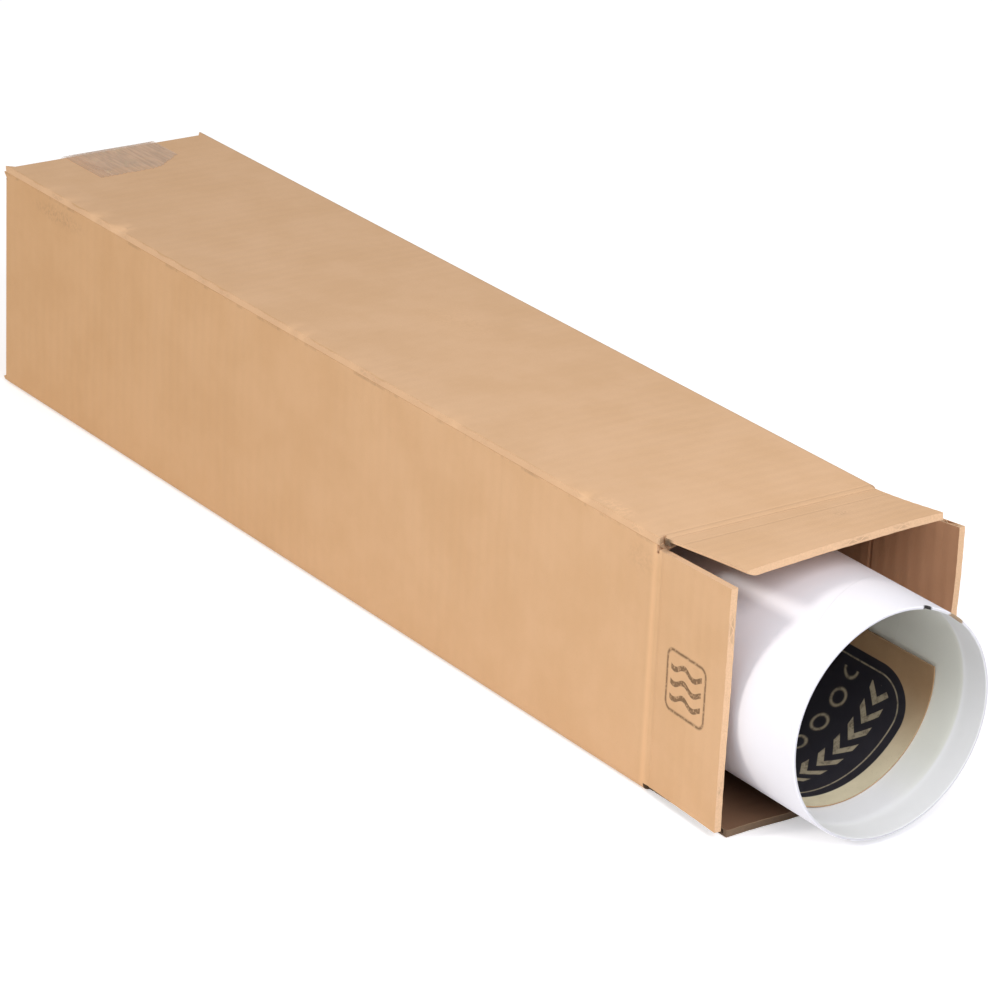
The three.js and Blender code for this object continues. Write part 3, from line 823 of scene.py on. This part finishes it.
def blank_columns(board):
    """The carton's section from the raw edge at the seam round to the end of the glue tab.

    Gives the outer line, the inner line, the inward normal, whether a flap hangs on the column, the
    end plane of its panel, how far it lies out on the tab, and the distance round the section. The
    outer line goes through the corners of the section and the inner one lies a board inside it.
    """
    seam = TOP - board.thickness
    inset = board.thickness
    outer_corners = [(-HALF, TOP), (HALF, TOP), (HALF, 0), (-HALF, 0), (-HALF, seam), (-HALF + board.tab, seam)]
    inner_corners = [
        (-HALF, TOP - inset), (HALF - inset, TOP - inset), (HALF - inset, inset), (inset - HALF, inset),
        (inset - HALF, seam - inset), (-HALF + board.tab, seam - inset),
    ]
    radii = [board.fold, board.fold, board.fold, board.seam_fold]
    inner_radii = [board.inner_fold] * 4
    ends = [0, *radii, 0]
    shares, hung, planes, steps, tab = [], [], [], 6, []
    inner_plane = Y_END - board.thickness
    leg_planes = [inner_plane, Y_END, inner_plane, Y_END, inner_plane]
    for leg in range(5):
        p, q = np.array(outer_corners[leg]), np.array(outer_corners[leg + 1])
        start, reach = ends[leg], np.linalg.norm(q - p)
        stop = reach - ends[leg + 1]
        marks = [start, stop] if leg == 4 else [start, max(SLOT, start), min(reach - SLOT, stop), stop]
        middle = np.linspace(marks[-3] if leg < 4 else start, marks[-2] if leg < 4 else stop, 9 if leg == 4 else 17)
        at = np.unique(np.round(np.concatenate([marks, middle]), 6))
        shares.append((at - start) / (stop - start))
        on_flap = (at >= SLOT - 1e-6) & (at <= reach - SLOT + 1e-6) if leg < 4 else np.zeros(len(at), bool)
        if leg == 3:
            on_flap = (at >= SLOT - 1e-6) & (at < stop - 1e-6)
        hung.append(on_flap)
        planes.append(np.full(len(at), leg_planes[leg]))
        tab.append(at if leg == 4 else np.zeros(len(at)))
        if leg < 4:
            hung.append(np.zeros(steps - 1, bool))
            planes.append(np.linspace(leg_planes[leg], leg_planes[leg + 1], steps + 1)[1:-1])
            tab.append(np.zeros(steps - 1))
    outer = folded_line(outer_corners, radii, shares, steps)
    inner = folded_line(inner_corners, inner_radii, shares, steps)
    inward = inner - outer
    inward = np.where(np.abs(inward) > 0.97 * board.thickness, np.sign(inward), 0.0)
    walk = np.concatenate([[0], np.cumsum(np.linalg.norm(np.diff(outer, axis=0), axis=1))])
    return outer, inner, inward, np.concatenate(hung), np.concatenate(planes), np.concatenate(tab), walk


class MAILER_OT_carton_blank(bpy.types.Operator):
    """Folds the carton's blank: four panels, the glue tab and the four flaps at the far end."""

    bl_idname = "mailer.carton_blank"
    bl_label = "Carton"

    def execute(self, context):
        """Each column is a place on the section and each row a distance along the carton.

        Past a panel's end plane a row follows a quarter circle inwards and then goes straight across
        the end. The back of the sheet follows the same path a board further in.
        """
        board = context.scene.mailer_board
        outer, inner, inward, hung, planes, tab, walk = blank_columns(board)
        radius, thick = board.end_fold, board.thickness
        straight = np.concatenate([[0.0], np.linspace(0, 1, 240)])
        bend = np.linspace(0, np.pi / 2, 9)[1:]
        flap = np.linspace(0, 1, 22)[1:]
        rows = len(straight) + len(bend) + len(flap)
        theta = np.concatenate([np.zeros(len(straight)), bend, np.full(len(flap), np.pi / 2)])
        spread = np.concatenate([np.zeros(len(straight) + len(bend)), flap * (board.end_flap - radius)])
        corner = ~hung & (tab == 0) & (walk < 4 * TOP - 2 * SLOT)
        corner_end = np.minimum(planes + board.corner_reach, Y_END - board.corner_gap)
        start = np.where(corner, corner_end, planes - radius)[:, None]
        seam_corner = ((walk < SLOT) | (walk > 4 * TOP - 2 * SLOT)) & ~hung
        front = Y_CREASE + np.where(seam_corner, board.crease, board.slot_depth)[:, None]
        y_line = np.concatenate([straight, np.ones(rows - len(straight))])[None]
        y = front + (start - front) * y_line
        y[:, 0] = Y_CREASE + board.crease
        middle = (front + Y_END) / 2
        cut_back = 1 - 2 * board.tab_taper / (Y_END - Y_CREASE) * tab[:, None] / board.tab
        y = middle + (y - middle) * cut_back
        face_y = y + radius * np.sin(theta)
        back_y = y + (radius - thick) * np.sin(theta)
        face_in = radius * (1 - np.cos(theta)) + spread
        back_in = radius - (radius - thick) * np.cos(theta) + spread - thick

        def grid(line, inwards, along):
            points = np.empty((len(line), rows, 3))
            points[..., 0] = line[:, :1] + inward[:, :1] * inwards
            points[..., 2] = line[:, 1:] + inward[:, 1:] * inwards
            points[..., 1] = along
            return points

        face, back = grid(outer, face_in[None], face_y), grid(inner, back_in[None], back_y)
        self.bow_panels(board, face, back, outer, inward, y)
        self.fray_seam(board, face, walk)
        cells = np.ones((len(outer) - 1, rows - 1), bool)
        loose = ~(hung[:-1] & hung[1:])
        cells[loose, 0] = False
        cells[loose, len(straight) - 1:] = False
        uv = np.stack(np.broadcast_arrays(walk[:, None], np.cumsum(
            np.concatenate([[0], np.linalg.norm(np.diff(face[hung.argmax()], axis=0), axis=1)]))[None]), -1)
        piece = add_piece("carton_blank", [sheet_part(face, back, uv, cells)], board_materials(board))
        settle(piece, "carton", "board", "carton_body")
        return {"FINISHED"}

    def bow_panels(self, board, face, back, outer, inward, y):
        """The top and the sides stand out a little in their middle, and are not quite even."""
        across = np.abs(outer[:, 0] * inward[:, 1] + (outer[:, 1] - TOP / 2) * inward[:, 0]) / HALF
        window = np.cos(np.clip(across, 0, 1) * np.pi / 2)[:, None]
        share = np.clip((y - Y_CREASE) / (Y_END - Y_CREASE), 0, 1)
        window = window * np.sin(share * np.pi)
        rests = (outer[:, 1] < board.thickness)[:, None] | (np.abs(inward).sum(1) != 1)[:, None]
        swell = np.where(rests, 0.0, board.bow * window * (0.8 + 0.5 * unevenness(walk_of(outer), y, 0.13, 5)))
        for points in (face, back):
            points[..., 0] -= inward[:, :1] * swell
            points[..., 2] -= inward[:, 1:] * swell

    def fray_seam(self, board, face, walk):
        """The raw edge of the top panel wanders, with torn places strewn along it."""
        y = face[0, :, 1]
        fray = board.ragged * (0.6 * unevenness(y, 0.0, 0.024, 11) + 0.6 * unevenness(y, 0.0, 0.009, 12))
        draw = np.random.default_rng(13)
        place, depth, width = draw.uniform([[0.012], [0.0003], [0.0020]], [[0.485], [0.0010], [0.0060]], (3, 20))
        torn = depth * np.exp(-(((y[:, None] - Y_CREASE - place) / width) ** 2))
        fray = fray + torn.sum(1)
        fade = np.clip(1 - walk / 0.0018, 0, 1)[:, None]
        face[..., 0] += fade * fray
        face[..., 2] -= fade * np.abs(fray) * 0.8


def walk_of(line):
    """The distance along a line of points, as a column."""
    return np.concatenate([[0], np.cumsum(np.linalg.norm(np.diff(line, axis=0), axis=1))])[:, None]


FLAPS = {
    "top_flap": ((0, 0, TOP), (1, 0, 0), (0, 0, 1)),
    "bottom_flap": ((0, 0, 0), (-1, 0, 0), (0, 0, -1)),
    "left_flap": ((-HALF, 0, TOP / 2), (0, 0, 1), (-1, 0, 0)),
    "right_flap": ((HALF, 0, TOP / 2), (0, 0, -1), (1, 0, 0)),
}


def flap_outline(flaps, name, u, share):
    """Where a point of a flap lies across it and above it. share is 0 at the crease and 1 at the tip.

    Insets, lifts and the left flap's rise grow from the crease to the tip, and the right flap slants
    by its lean.
    """
    high = (u + FLAP_HALF) / (2 * FLAP_HALF)
    share = np.clip(share, 0, 1)
    if name == "top_flap":
        left = share * flaps.left_inset - (1 - share) * flaps.left_start
        across = u + left * (1 - high) - share * flaps.right_inset * high
        return across, share ** 1.3 * (flaps.left_lift * (1 - high) + flaps.right_lift * high)
    if name == "left_flap":
        return u + (flaps.rise * share - flaps.trim) * high, 0 * u * share
    if name == "right_flap":
        return u - flaps.lean * share, flaps.spread * share ** 1.6 + 0 * u
    return u + 0 * share, 0 * u * share


def flap_frame(name):
    """Crease, direction across the flap, outward normal and direction out along the flap at rest.

    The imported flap's box says how far its tip stands off the plane of its panel, and so how far open
    it is: the tip's distance divided by the flap's reach is the slope.
    """
    place, across, normal = (np.array(part, float) for part in FLAPS[name])
    place = place + np.array([0, Y_CREASE, 0])
    low, high = (np.array(corner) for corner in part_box(name))
    furthest = max(np.dot(low, normal), np.dot(high, normal)) - np.dot(place, normal)
    opening = math.atan2(max(furthest, 0), Y_CREASE - low[1])
    ahead = np.array([0, -1.0, 0])
    along = ahead * math.cos(opening) + normal * math.sin(opening)
    up = normal * math.cos(opening) - ahead * math.sin(opening)
    return place, across, up, along


class MAILER_OT_front_flaps(bpy.types.Operator):
    """Builds the four front flaps: two liners with the wave between them, open at the side edges."""

    bl_idname = "mailer.front_flaps"
    bl_label = "Front flaps"

    def execute(self, context):
        """A flap is laid out flat: u across, v out from the crease, w up. Then it is turned into place."""
        board, flaps = context.scene.mailer_board, context.scene.mailer_flaps
        for seed, name in enumerate(FLAPS):
            materials = board_materials(board)
            if name == "left_flap":
                materials[FACE] = material_of("kraft printed liner", printed_flap, board)
            piece = add_piece(f"{name}_board", self.flap_parts(board, flaps, name, seed), materials)
            settle(piece, name, "board", name)
        return {"FINISHED"}

    def flap_parts(self, board, flaps, name, seed):
        """Outer liner, wave and inner liner, and the strips where the board is pressed shut.

        The board is shut at the crease, at the tip and, beside the slit between the top flap and the
        left one, at their side edges. The other side edges show the open flutes.
        """
        place, across, up, along = flap_frame(name)
        reach = FLAP_REACH
        inner = np.linspace(board.crushed - FLAP_HALF, FLAP_HALF - board.crushed, 59)
        u = np.concatenate([
            [-FLAP_HALF, flaps.pressed - FLAP_HALF], inner, [FLAP_HALF - flaps.pressed, FLAP_HALF]
        ])[:, None]
        tip = reach - 0.0004 * (1 + unevenness(u, 0.0, 0.035, 40 + seed)) - 0.00012 * unevenness(u, 0.0, 0.006, 50 + seed)
        waves = int((reach - board.crease - 2 * board.crushed) / board.pitch)
        v = np.linspace(0, 1, 12 * waves + 13)[None]
        share = board.crease + v * (tip - board.crease)
        u_line, lift = flap_outline(flaps, name, u, v)
        middle = np.cos(np.pi * u / (2 * FLAP_HALF)) if name == "top_flap" else 0 * u
        curl = lift + 0.0006 * middle * v ** 2 + 0.00018 * v * unevenness(u, share, 0.05, 60 + seed)
        phase = 2 * np.pi * (share - board.crease - board.crushed) / board.pitch
        ripple = 0.00005 * np.cos(phase) * np.sin(np.pi * v) - 0.00005

        def lay(height):
            flat = height + curl
            return place + u_line[..., None] * across + share[..., None] * along + flat[..., None] * up

        uv = np.stack(np.broadcast_arrays(u, share), -1)
        beside = np.clip(1 - (u + FLAP_HALF) / 0.004, 0, 1) if name == "top_flap" else 0 * u
        thick = board.thickness - flaps.flattened * beside
        rest = 0.0 * share
        swing = (thick - 2 * board.liner - board.medium) / 2
        wave = -thick / 2 + swing * np.cos(phase)
        last = 1 - board.crushed / (reach - board.crease)
        fluted = (v[:, 1:] <= last) & (v[:, :-1] >= 1 - last)
        open_side = np.ones((len(u) - 1, 1), bool)
        if name == "top_flap":
            open_side[0] = False
        if name == "left_flap":
            open_side[-1] = False
        keep = fluted & open_side
        edges = ~keep
        outer_liner = sheet_part(lay(ripple), lay(rest - board.liner), uv, skins=(FACE, BACK, EDGE))
        inner_liner = sheet_part(lay(rest - thick + board.liner), lay(rest - thick), uv, skins=(BACK, BACK, EDGE))
        medium = sheet_part(lay(wave + board.medium / 2), lay(wave - board.medium / 2), uv, keep, skins=(EDGE, EDGE, EDGE))
        crushed = sheet_part(lay(rest - board.liner), lay(rest - thick + board.liner), uv, edges, skins=(BACK, BACK, EDGE))
        return [outer_liner, inner_liner, medium, crushed]


class MAILER_OT_creases(bpy.types.Operator):
    """Builds the pressed strip of board that joins the sleeve to each front flap."""

    bl_idname = "mailer.creases"
    bl_label = "Front creases"

    def execute(self, context):
        """From a crease's width behind the fold to the same width in front of it.

        Behind the fold a point lies in the panel's plane, in front of it in the flap's. The outer
        face dips by a bell curve at the fold, and the inner face bulges by one.
        """
        board, flaps = context.scene.mailer_board, context.scene.mailer_flaps
        for name in FLAPS:
            place, across, up, along = flap_frame(name)
            normal = np.array(FLAPS[name][2], float)
            u = np.linspace(-FLAP_HALF, FLAP_HALF, 41)[:, None]
            v = np.linspace(-board.crease, board.crease, 15)[None]
            u, _ = flap_outline(flaps, name, u, 0 * v)
            bell = np.exp(-((v / 0.0007) ** 2)) - math.exp(-((board.crease / 0.0007) ** 2))
            ahead = np.where(v[..., None] < 0, np.array([0, -1.0, 0]), along)
            above = np.where(v[..., None] < 0, normal, up)
            middle = place + u[..., None] * across + v[..., None] * ahead
            dip = board.score * bell * (1 + 0.25 * unevenness(u, 0.0, 0.02, 70))
            face = middle - dip[..., None] * above
            back = middle - (board.thickness - 0.0004 * bell + 0.0 * u)[..., None] * above
            uv = np.stack(np.broadcast_arrays(u, v), -1)
            piece = add_piece(f"{name}_crease", [sheet_part(face, back, uv)], board_materials(board))
            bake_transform(piece)
        return {"FINISHED"}


class MAILER_OT_tape(bpy.types.Operator):
    """Lays one strip of packing tape over the far end."""

    bl_idname = "mailer.tape"
    bl_label = "Packing tape"

    def execute(self, context):
        """Along the top, round the folded edge and down the end, with saw teeth at both ends."""
        tape = context.scene.mailer_tape
        board = context.scene.mailer_board
        half = TAPE_HIGH.x
        on_top = TOP + 0.00004
        on_end = Y_END + 0.00004
        shoulder = Y_END - board.end_fold
        corners = [(TAPE_LOW.y, on_top), (shoulder, on_top), (on_end, TOP - SLOT), (on_end, TAPE_LOW.z)]
        u = np.linspace(-half, half, 161)[:, None]
        teeth = tape.tooth * np.abs(((u / tape.tooth_pitch) % 1) * 2 - 1)
        legs = [np.linspace(p, q, count + 1)[:-1] for p, q, count in zip(corners, corners[1:], (20, 6, 50))]
        line = np.concatenate([*legs, [corners[-1]]])
        for _ in range(3):
            line[1:-1] = (line[:-2] + 2 * line[1:-1] + line[2:]) / 4
        line[:, 1] = np.where(line[:, 0] < shoulder, on_top, line[:, 1])
        heading = np.gradient(line, axis=0)
        heading /= np.linalg.norm(heading, axis=1)[:, None]
        out = np.stack([-heading[:, 1], heading[:, 0]], 1)
        walk = walk_of(line)[:, 0]
        pull = np.clip(1 - walk / 0.012, 0, 1)[None] - np.clip(1 - (walk[-1] - walk) / 0.012, 0, 1)[None]
        corner = np.clip((u - 0.003) / 0.019, 0, 1)
        tear = tape.slant * corner ** 1.6 + 0.0004 * unevenness(u, 0.0, 0.008, 81)
        moved = teeth * pull + tear * np.clip(1 - walk / 0.034, 0, 1)[None]
        wrinkle = 0.00005 * (1 + unevenness(u, walk[None], 0.02, 80)) + 0.00004

        def lay(height):
            y = line[None, :, 0] + heading[None, :, 0] * moved + out[None, :, 0] * height
            z = line[None, :, 1] + heading[None, :, 1] * moved + out[None, :, 1] * height
            return np.stack(np.broadcast_arrays(u, y, z), -1)

        uv = np.stack(np.broadcast_arrays(u, walk[None]), -1)
        film = material_of("packing tape film", tape_film, tape)
        piece = add_piece("tape_strip", [sheet_part(lay(wrinkle + tape.film), lay(wrinkle), uv)], [film] * 3)
        settle(piece, "carton", "tape", "closing_tape")
        return {"FINISHED"}


class MAILER_OT_postal_tube(bpy.types.Operator):
    """Turns the round postal tube, with a shallow cap seat inside each mouth."""

    bl_idname = "mailer.postal_tube"
    bl_label = "Postal tube"

    def execute(self, context):
        """A circle carried along Y. The inner radius is larger over the cap seats by the relief.

        The radius swells by a small sine of twice the angle, so the tube is a little out of round, and
        the rim has one nick near the top.
        """
        tube = context.scene.mailer_tube
        reach = TUBE_HIGH.y - TUBE_LOW.y
        near_rim = np.concatenate([
            [0, 0.0001, 0.0002, tube.rim, 0.0007, 0.0012, 0.002, 0.004, 0.0085],
            tube.seat_depth + tube.seat_slope * np.linspace(-0.5, 0.5, 7),
        ])
        y = np.concatenate([near_rim, np.linspace(0.02, reach - 0.02, 70), (reach - near_rim)[::-1]])[None]
        angle = np.linspace(0, 2 * np.pi, 289)[:-1, None]
        from_end = np.minimum(y, reach - y)
        swell = tube.uneven * np.sin(2 * angle + 3 * y) - tube.uneven
        lip = np.clip(1 - from_end / tube.rim, 0, 1)
        outer = TUBE_RADIUS + swell - tube.rim * (1 - np.sqrt(1 - lip ** 2))
        step = np.clip((tube.seat_depth - from_end) / tube.seat_slope + 0.5, 0, 1)
        relief = tube.seat_relief * step ** 2 * (3 - 2 * step)
        inner = TUBE_RADIUS - tube.wall + swell + relief + 0.4 * tube.rim * lip ** 2
        nick_at = math.radians(74)
        nick = 0.0014 * np.exp(-(((angle - nick_at) / 0.026) ** 2)) * np.exp(-y / 0.002)
        along = TUBE_LOW.y + y + nick

        def turned(radius):
            x = TUBE_AXIS.x + radius * np.cos(angle)
            z = TUBE_AXIS.z + radius * np.sin(angle)
            return np.stack(np.broadcast_arrays(x, along, z), -1)

        uv = np.stack(np.broadcast_arrays(angle * TUBE_RADIUS, y), -1)
        materials = [
            tube_paper("tube outer paper", tube, tube.colour, True),
            tube_paper("tube inner paper", tube, tube.inner_colour, False),
            tube_rim(tube),
        ]
        piece = add_piece("postal_tube", [sheet_part(turned(outer), turned(inner), uv, closed=True)], materials)
        settle(piece, "carton", "tube", "inner_tube")
        return {"FINISHED"}


class MAILER_OT_curled_sheet(bpy.types.Operator):
    """Curls the printed sheet inside the postal tube."""

    bl_idname = "mailer.curled_sheet"
    bl_label = "Curled sheet"

    def execute(self, context):
        """An arc carried along Y. Its free long edge springs off the wall by an exponential curve."""
        sheet = context.scene.mailer_sheet
        radius = TUBE_AXIS.z - SHEET_LOW.z
        arc = np.linspace(0, sheet.wrap * radius, 181)[:, None]
        y = np.linspace(SHEET_LOW.y, SHEET_HIGH.y, 80)[None]
        lift = sheet.edge_lift * np.exp(-arc / 0.008) * (1 + 0.5 * np.sin((y - SHEET_LOW.y) / 0.03))
        lift = lift + 0.00016 * (1 + unevenness(arc, y, 0.08, 90))
        angle = sheet.edge_turn - arc / radius

        def curled(reach):
            x = TUBE_AXIS.x + reach * np.cos(angle)
            z = TUBE_AXIS.z + reach * np.sin(angle)
            return np.stack(np.broadcast_arrays(x, y, z), -1)

        uv = np.stack(np.broadcast_arrays(arc, y - SHEET_LOW.y), -1)
        inside = curled(radius - sheet.paper - lift)
        outside = curled(radius - lift)
        bare = bare_sheet(sheet)
        materials = [printed_sheet(sheet), bare, bare]
        piece = add_piece("curled_print", [sheet_part(inside, outside, uv)], materials)
        settle(piece, "carton", "sheet", "curled_sheet")
        return {"FINISHED"}


class MAILER_OT_stage(bpy.types.Operator):
    """Sets the pale floor, the lamps and the camera."""

    bl_idname = "mailer.stage"
    bl_label = "Stage"

    def execute(self, context):
        """The camera looks along its azimuth and elevation and is rolled about that line."""
        stage = context.scene.mailer_stage
        self.add_floor(stage)
        self.add_lamps(context, stage)
        self.add_camera(context, stage)
        context.scene.view_settings.view_transform = "Standard"
        return {"FINISHED"}

    def add_floor(self, stage):
        """A wide pale square whose own white shows to the camera, and keeps the shadow."""
        half = stage.floor / 2
        mesh = bpy.data.meshes.new("floor")
        ring = [(-half, -half, 0), (half, -half, 0), (half, half, 0), (-half, half, 0)]
        mesh.from_pydata(ring, [], [(0, 1, 2, 3)])
        floor = bpy.data.objects.new("floor", mesh)
        floor.location.z = -0.0002
        bpy.context.scene.collection.objects.link(floor)
        material, shader, principled = new_material("pale floor", 0.9, Base_Color=(0.86, 0.86, 0.87, 1))
        principled.inputs["Specular IOR Level"].default_value = 0.0
        glow = shader.add("ShaderNodeEmission", (1, 1, 1, 1), 0.38)
        both = shader.add("ShaderNodeAddShader", principled.outputs[0], glow)
        path = shader.tree.nodes.new("ShaderNodeLightPath")
        seen = shader.math("MAXIMUM", path.outputs["Is Camera Ray"], path.outputs["Is Glossy Ray"])
        seen = shader.math("MAXIMUM", seen, path.outputs["Is Transmission Ray"])
        mixed = shader.add("ShaderNodeMixShader", seen, principled.outputs[0], both)
        shader.tree.links.new(mixed, shader.tree.nodes["Material Output"].inputs[0])
        mesh.materials.append(material)

    def add_lamps(self, context, stage):
        """A low sun from the left and a little behind, soft lamps above and in front, and an even sky."""
        sun = bpy.data.lights.new("key", "SUN")
        sun.energy = stage.key
        sun.angle = math.radians(10)
        sun.color = (1.0, 0.955, 0.89)
        self.place(context, "key", sun, Vector((-1.0, 0.30, 0.66)) * 2, Vector((0, 0, 0)))
        lamps = (
            ("overhead", stage.overhead, 1.6, Vector((-0.3, -0.2, 1.5))),
            ("front", stage.front, 0.7, Vector((-0.22, -1.02, 0.78))),
        )
        for name, power, size, position in lamps:
            lamp = bpy.data.lights.new(name, "AREA")
            lamp.energy = power
            lamp.size = size
            lamp.color = (0.95, 0.955, 1.0)
            self.place(context, name, lamp, position, Vector((0, Y_CREASE, 0.05)))
        world = bpy.data.worlds.new("sky")
        world.use_nodes = True
        shader = Shader(world.node_tree)
        background = world.node_tree.nodes["Background"]
        path = world.node_tree.nodes.new("ShaderNodeLightPath")
        strength = shader.ramp(path.outputs["Is Camera Ray"], 0.0, 1.0, stage.sky, 1.0)
        world.node_tree.links.new(strength, background.inputs["Strength"])
        background.inputs["Color"].default_value = (0.985, 0.985, 1.0, 1)
        context.scene.world = world

    def place(self, context, name, light, position, target):
        """A lamp at a position, facing a target."""
        lamp = bpy.data.objects.new(name, light)
        lamp.location = position
        lamp.rotation_mode = "QUATERNION"
        lamp.rotation_quaternion = (target - position).to_track_quat("-Z", "Y")
        context.scene.collection.objects.link(lamp)

    def add_camera(self, context, stage):
        """The view at the photograph's angle."""
        flat = math.cos(stage.elevation)
        back = Vector((
            math.sin(stage.azimuth) * flat, -math.cos(stage.azimuth) * flat, math.sin(stage.elevation)
        ))
        right = (-back).cross(Vector((0, 0, 1))).normalized()
        up = right.cross(-back)
        level = right * math.cos(stage.roll) + up * math.sin(stage.roll)
        upright = up * math.cos(stage.roll) - right * math.sin(stage.roll)
        camera = bpy.data.cameras.new("camera")
        camera.sensor_width = 36.0
        camera.lens = stage.lens
        camera.clip_end = 100
        holder = bpy.data.objects.new("camera", camera)
        turned = Matrix((level, upright, back)).transposed().to_4x4()
        holder.matrix_world = Matrix.Translation(Vector(stage.position)) @ turned
        context.scene.collection.objects.link(holder)
        context.scene.camera = holder


class MAILER_PT_panel(bpy.types.Panel):
    """Lists the steps that build the mailing tube."""

    bl_label = "Square mailing tube"
    bl_idname = "MAILER_PT_panel"
    bl_space_type = "VIEW_3D"
    bl_region_type = "UI"
    bl_category = "Mailer"

    def draw(self, context):
        """One button for each operator, in the order in which they run."""
        for operator in OPERATORS:
            self.layout.operator(operator.bl_idname)


SETTINGS = {
    "mailer_board": MailerBoardSettings,
    "mailer_flaps": MailerFlapSettings,
    "mailer_tape": MailerTapeSettings,
    "mailer_tube": MailerTubeSettings,
    "mailer_sheet": MailerSheetSettings,
    "mailer_stage": MailerStageSettings,
}
OPERATORS = (
    MAILER_OT_stage,
    MAILER_OT_carton_blank,
    MAILER_OT_front_flaps,
    MAILER_OT_creases,
    MAILER_OT_tape,
    MAILER_OT_postal_tube,
    MAILER_OT_curled_sheet,
)
CLASSES = (*SETTINGS.values(), *OPERATORS, MAILER_PT_panel)


def register():
    """Makes the settings, operators and panel known."""
    for made in CLASSES:
        bpy.utils.register_class(made)
    for name, settings in SETTINGS.items():
        setattr(bpy.types.Scene, name, PointerProperty(type=settings))


def unregister():
    """Takes them away again."""
    for name in SETTINGS:
        delattr(bpy.types.Scene, name)
    for made in reversed(CLASSES):
        bpy.utils.unregister_class(made)


def main():
    """Builds the stage and every piece."""
    register()
    for operator in OPERATORS:
        group_name, call = operator.bl_idname.split(".")
        getattr(getattr(bpy.ops, group_name), call)()


if __name__ == "__main__":
    main()
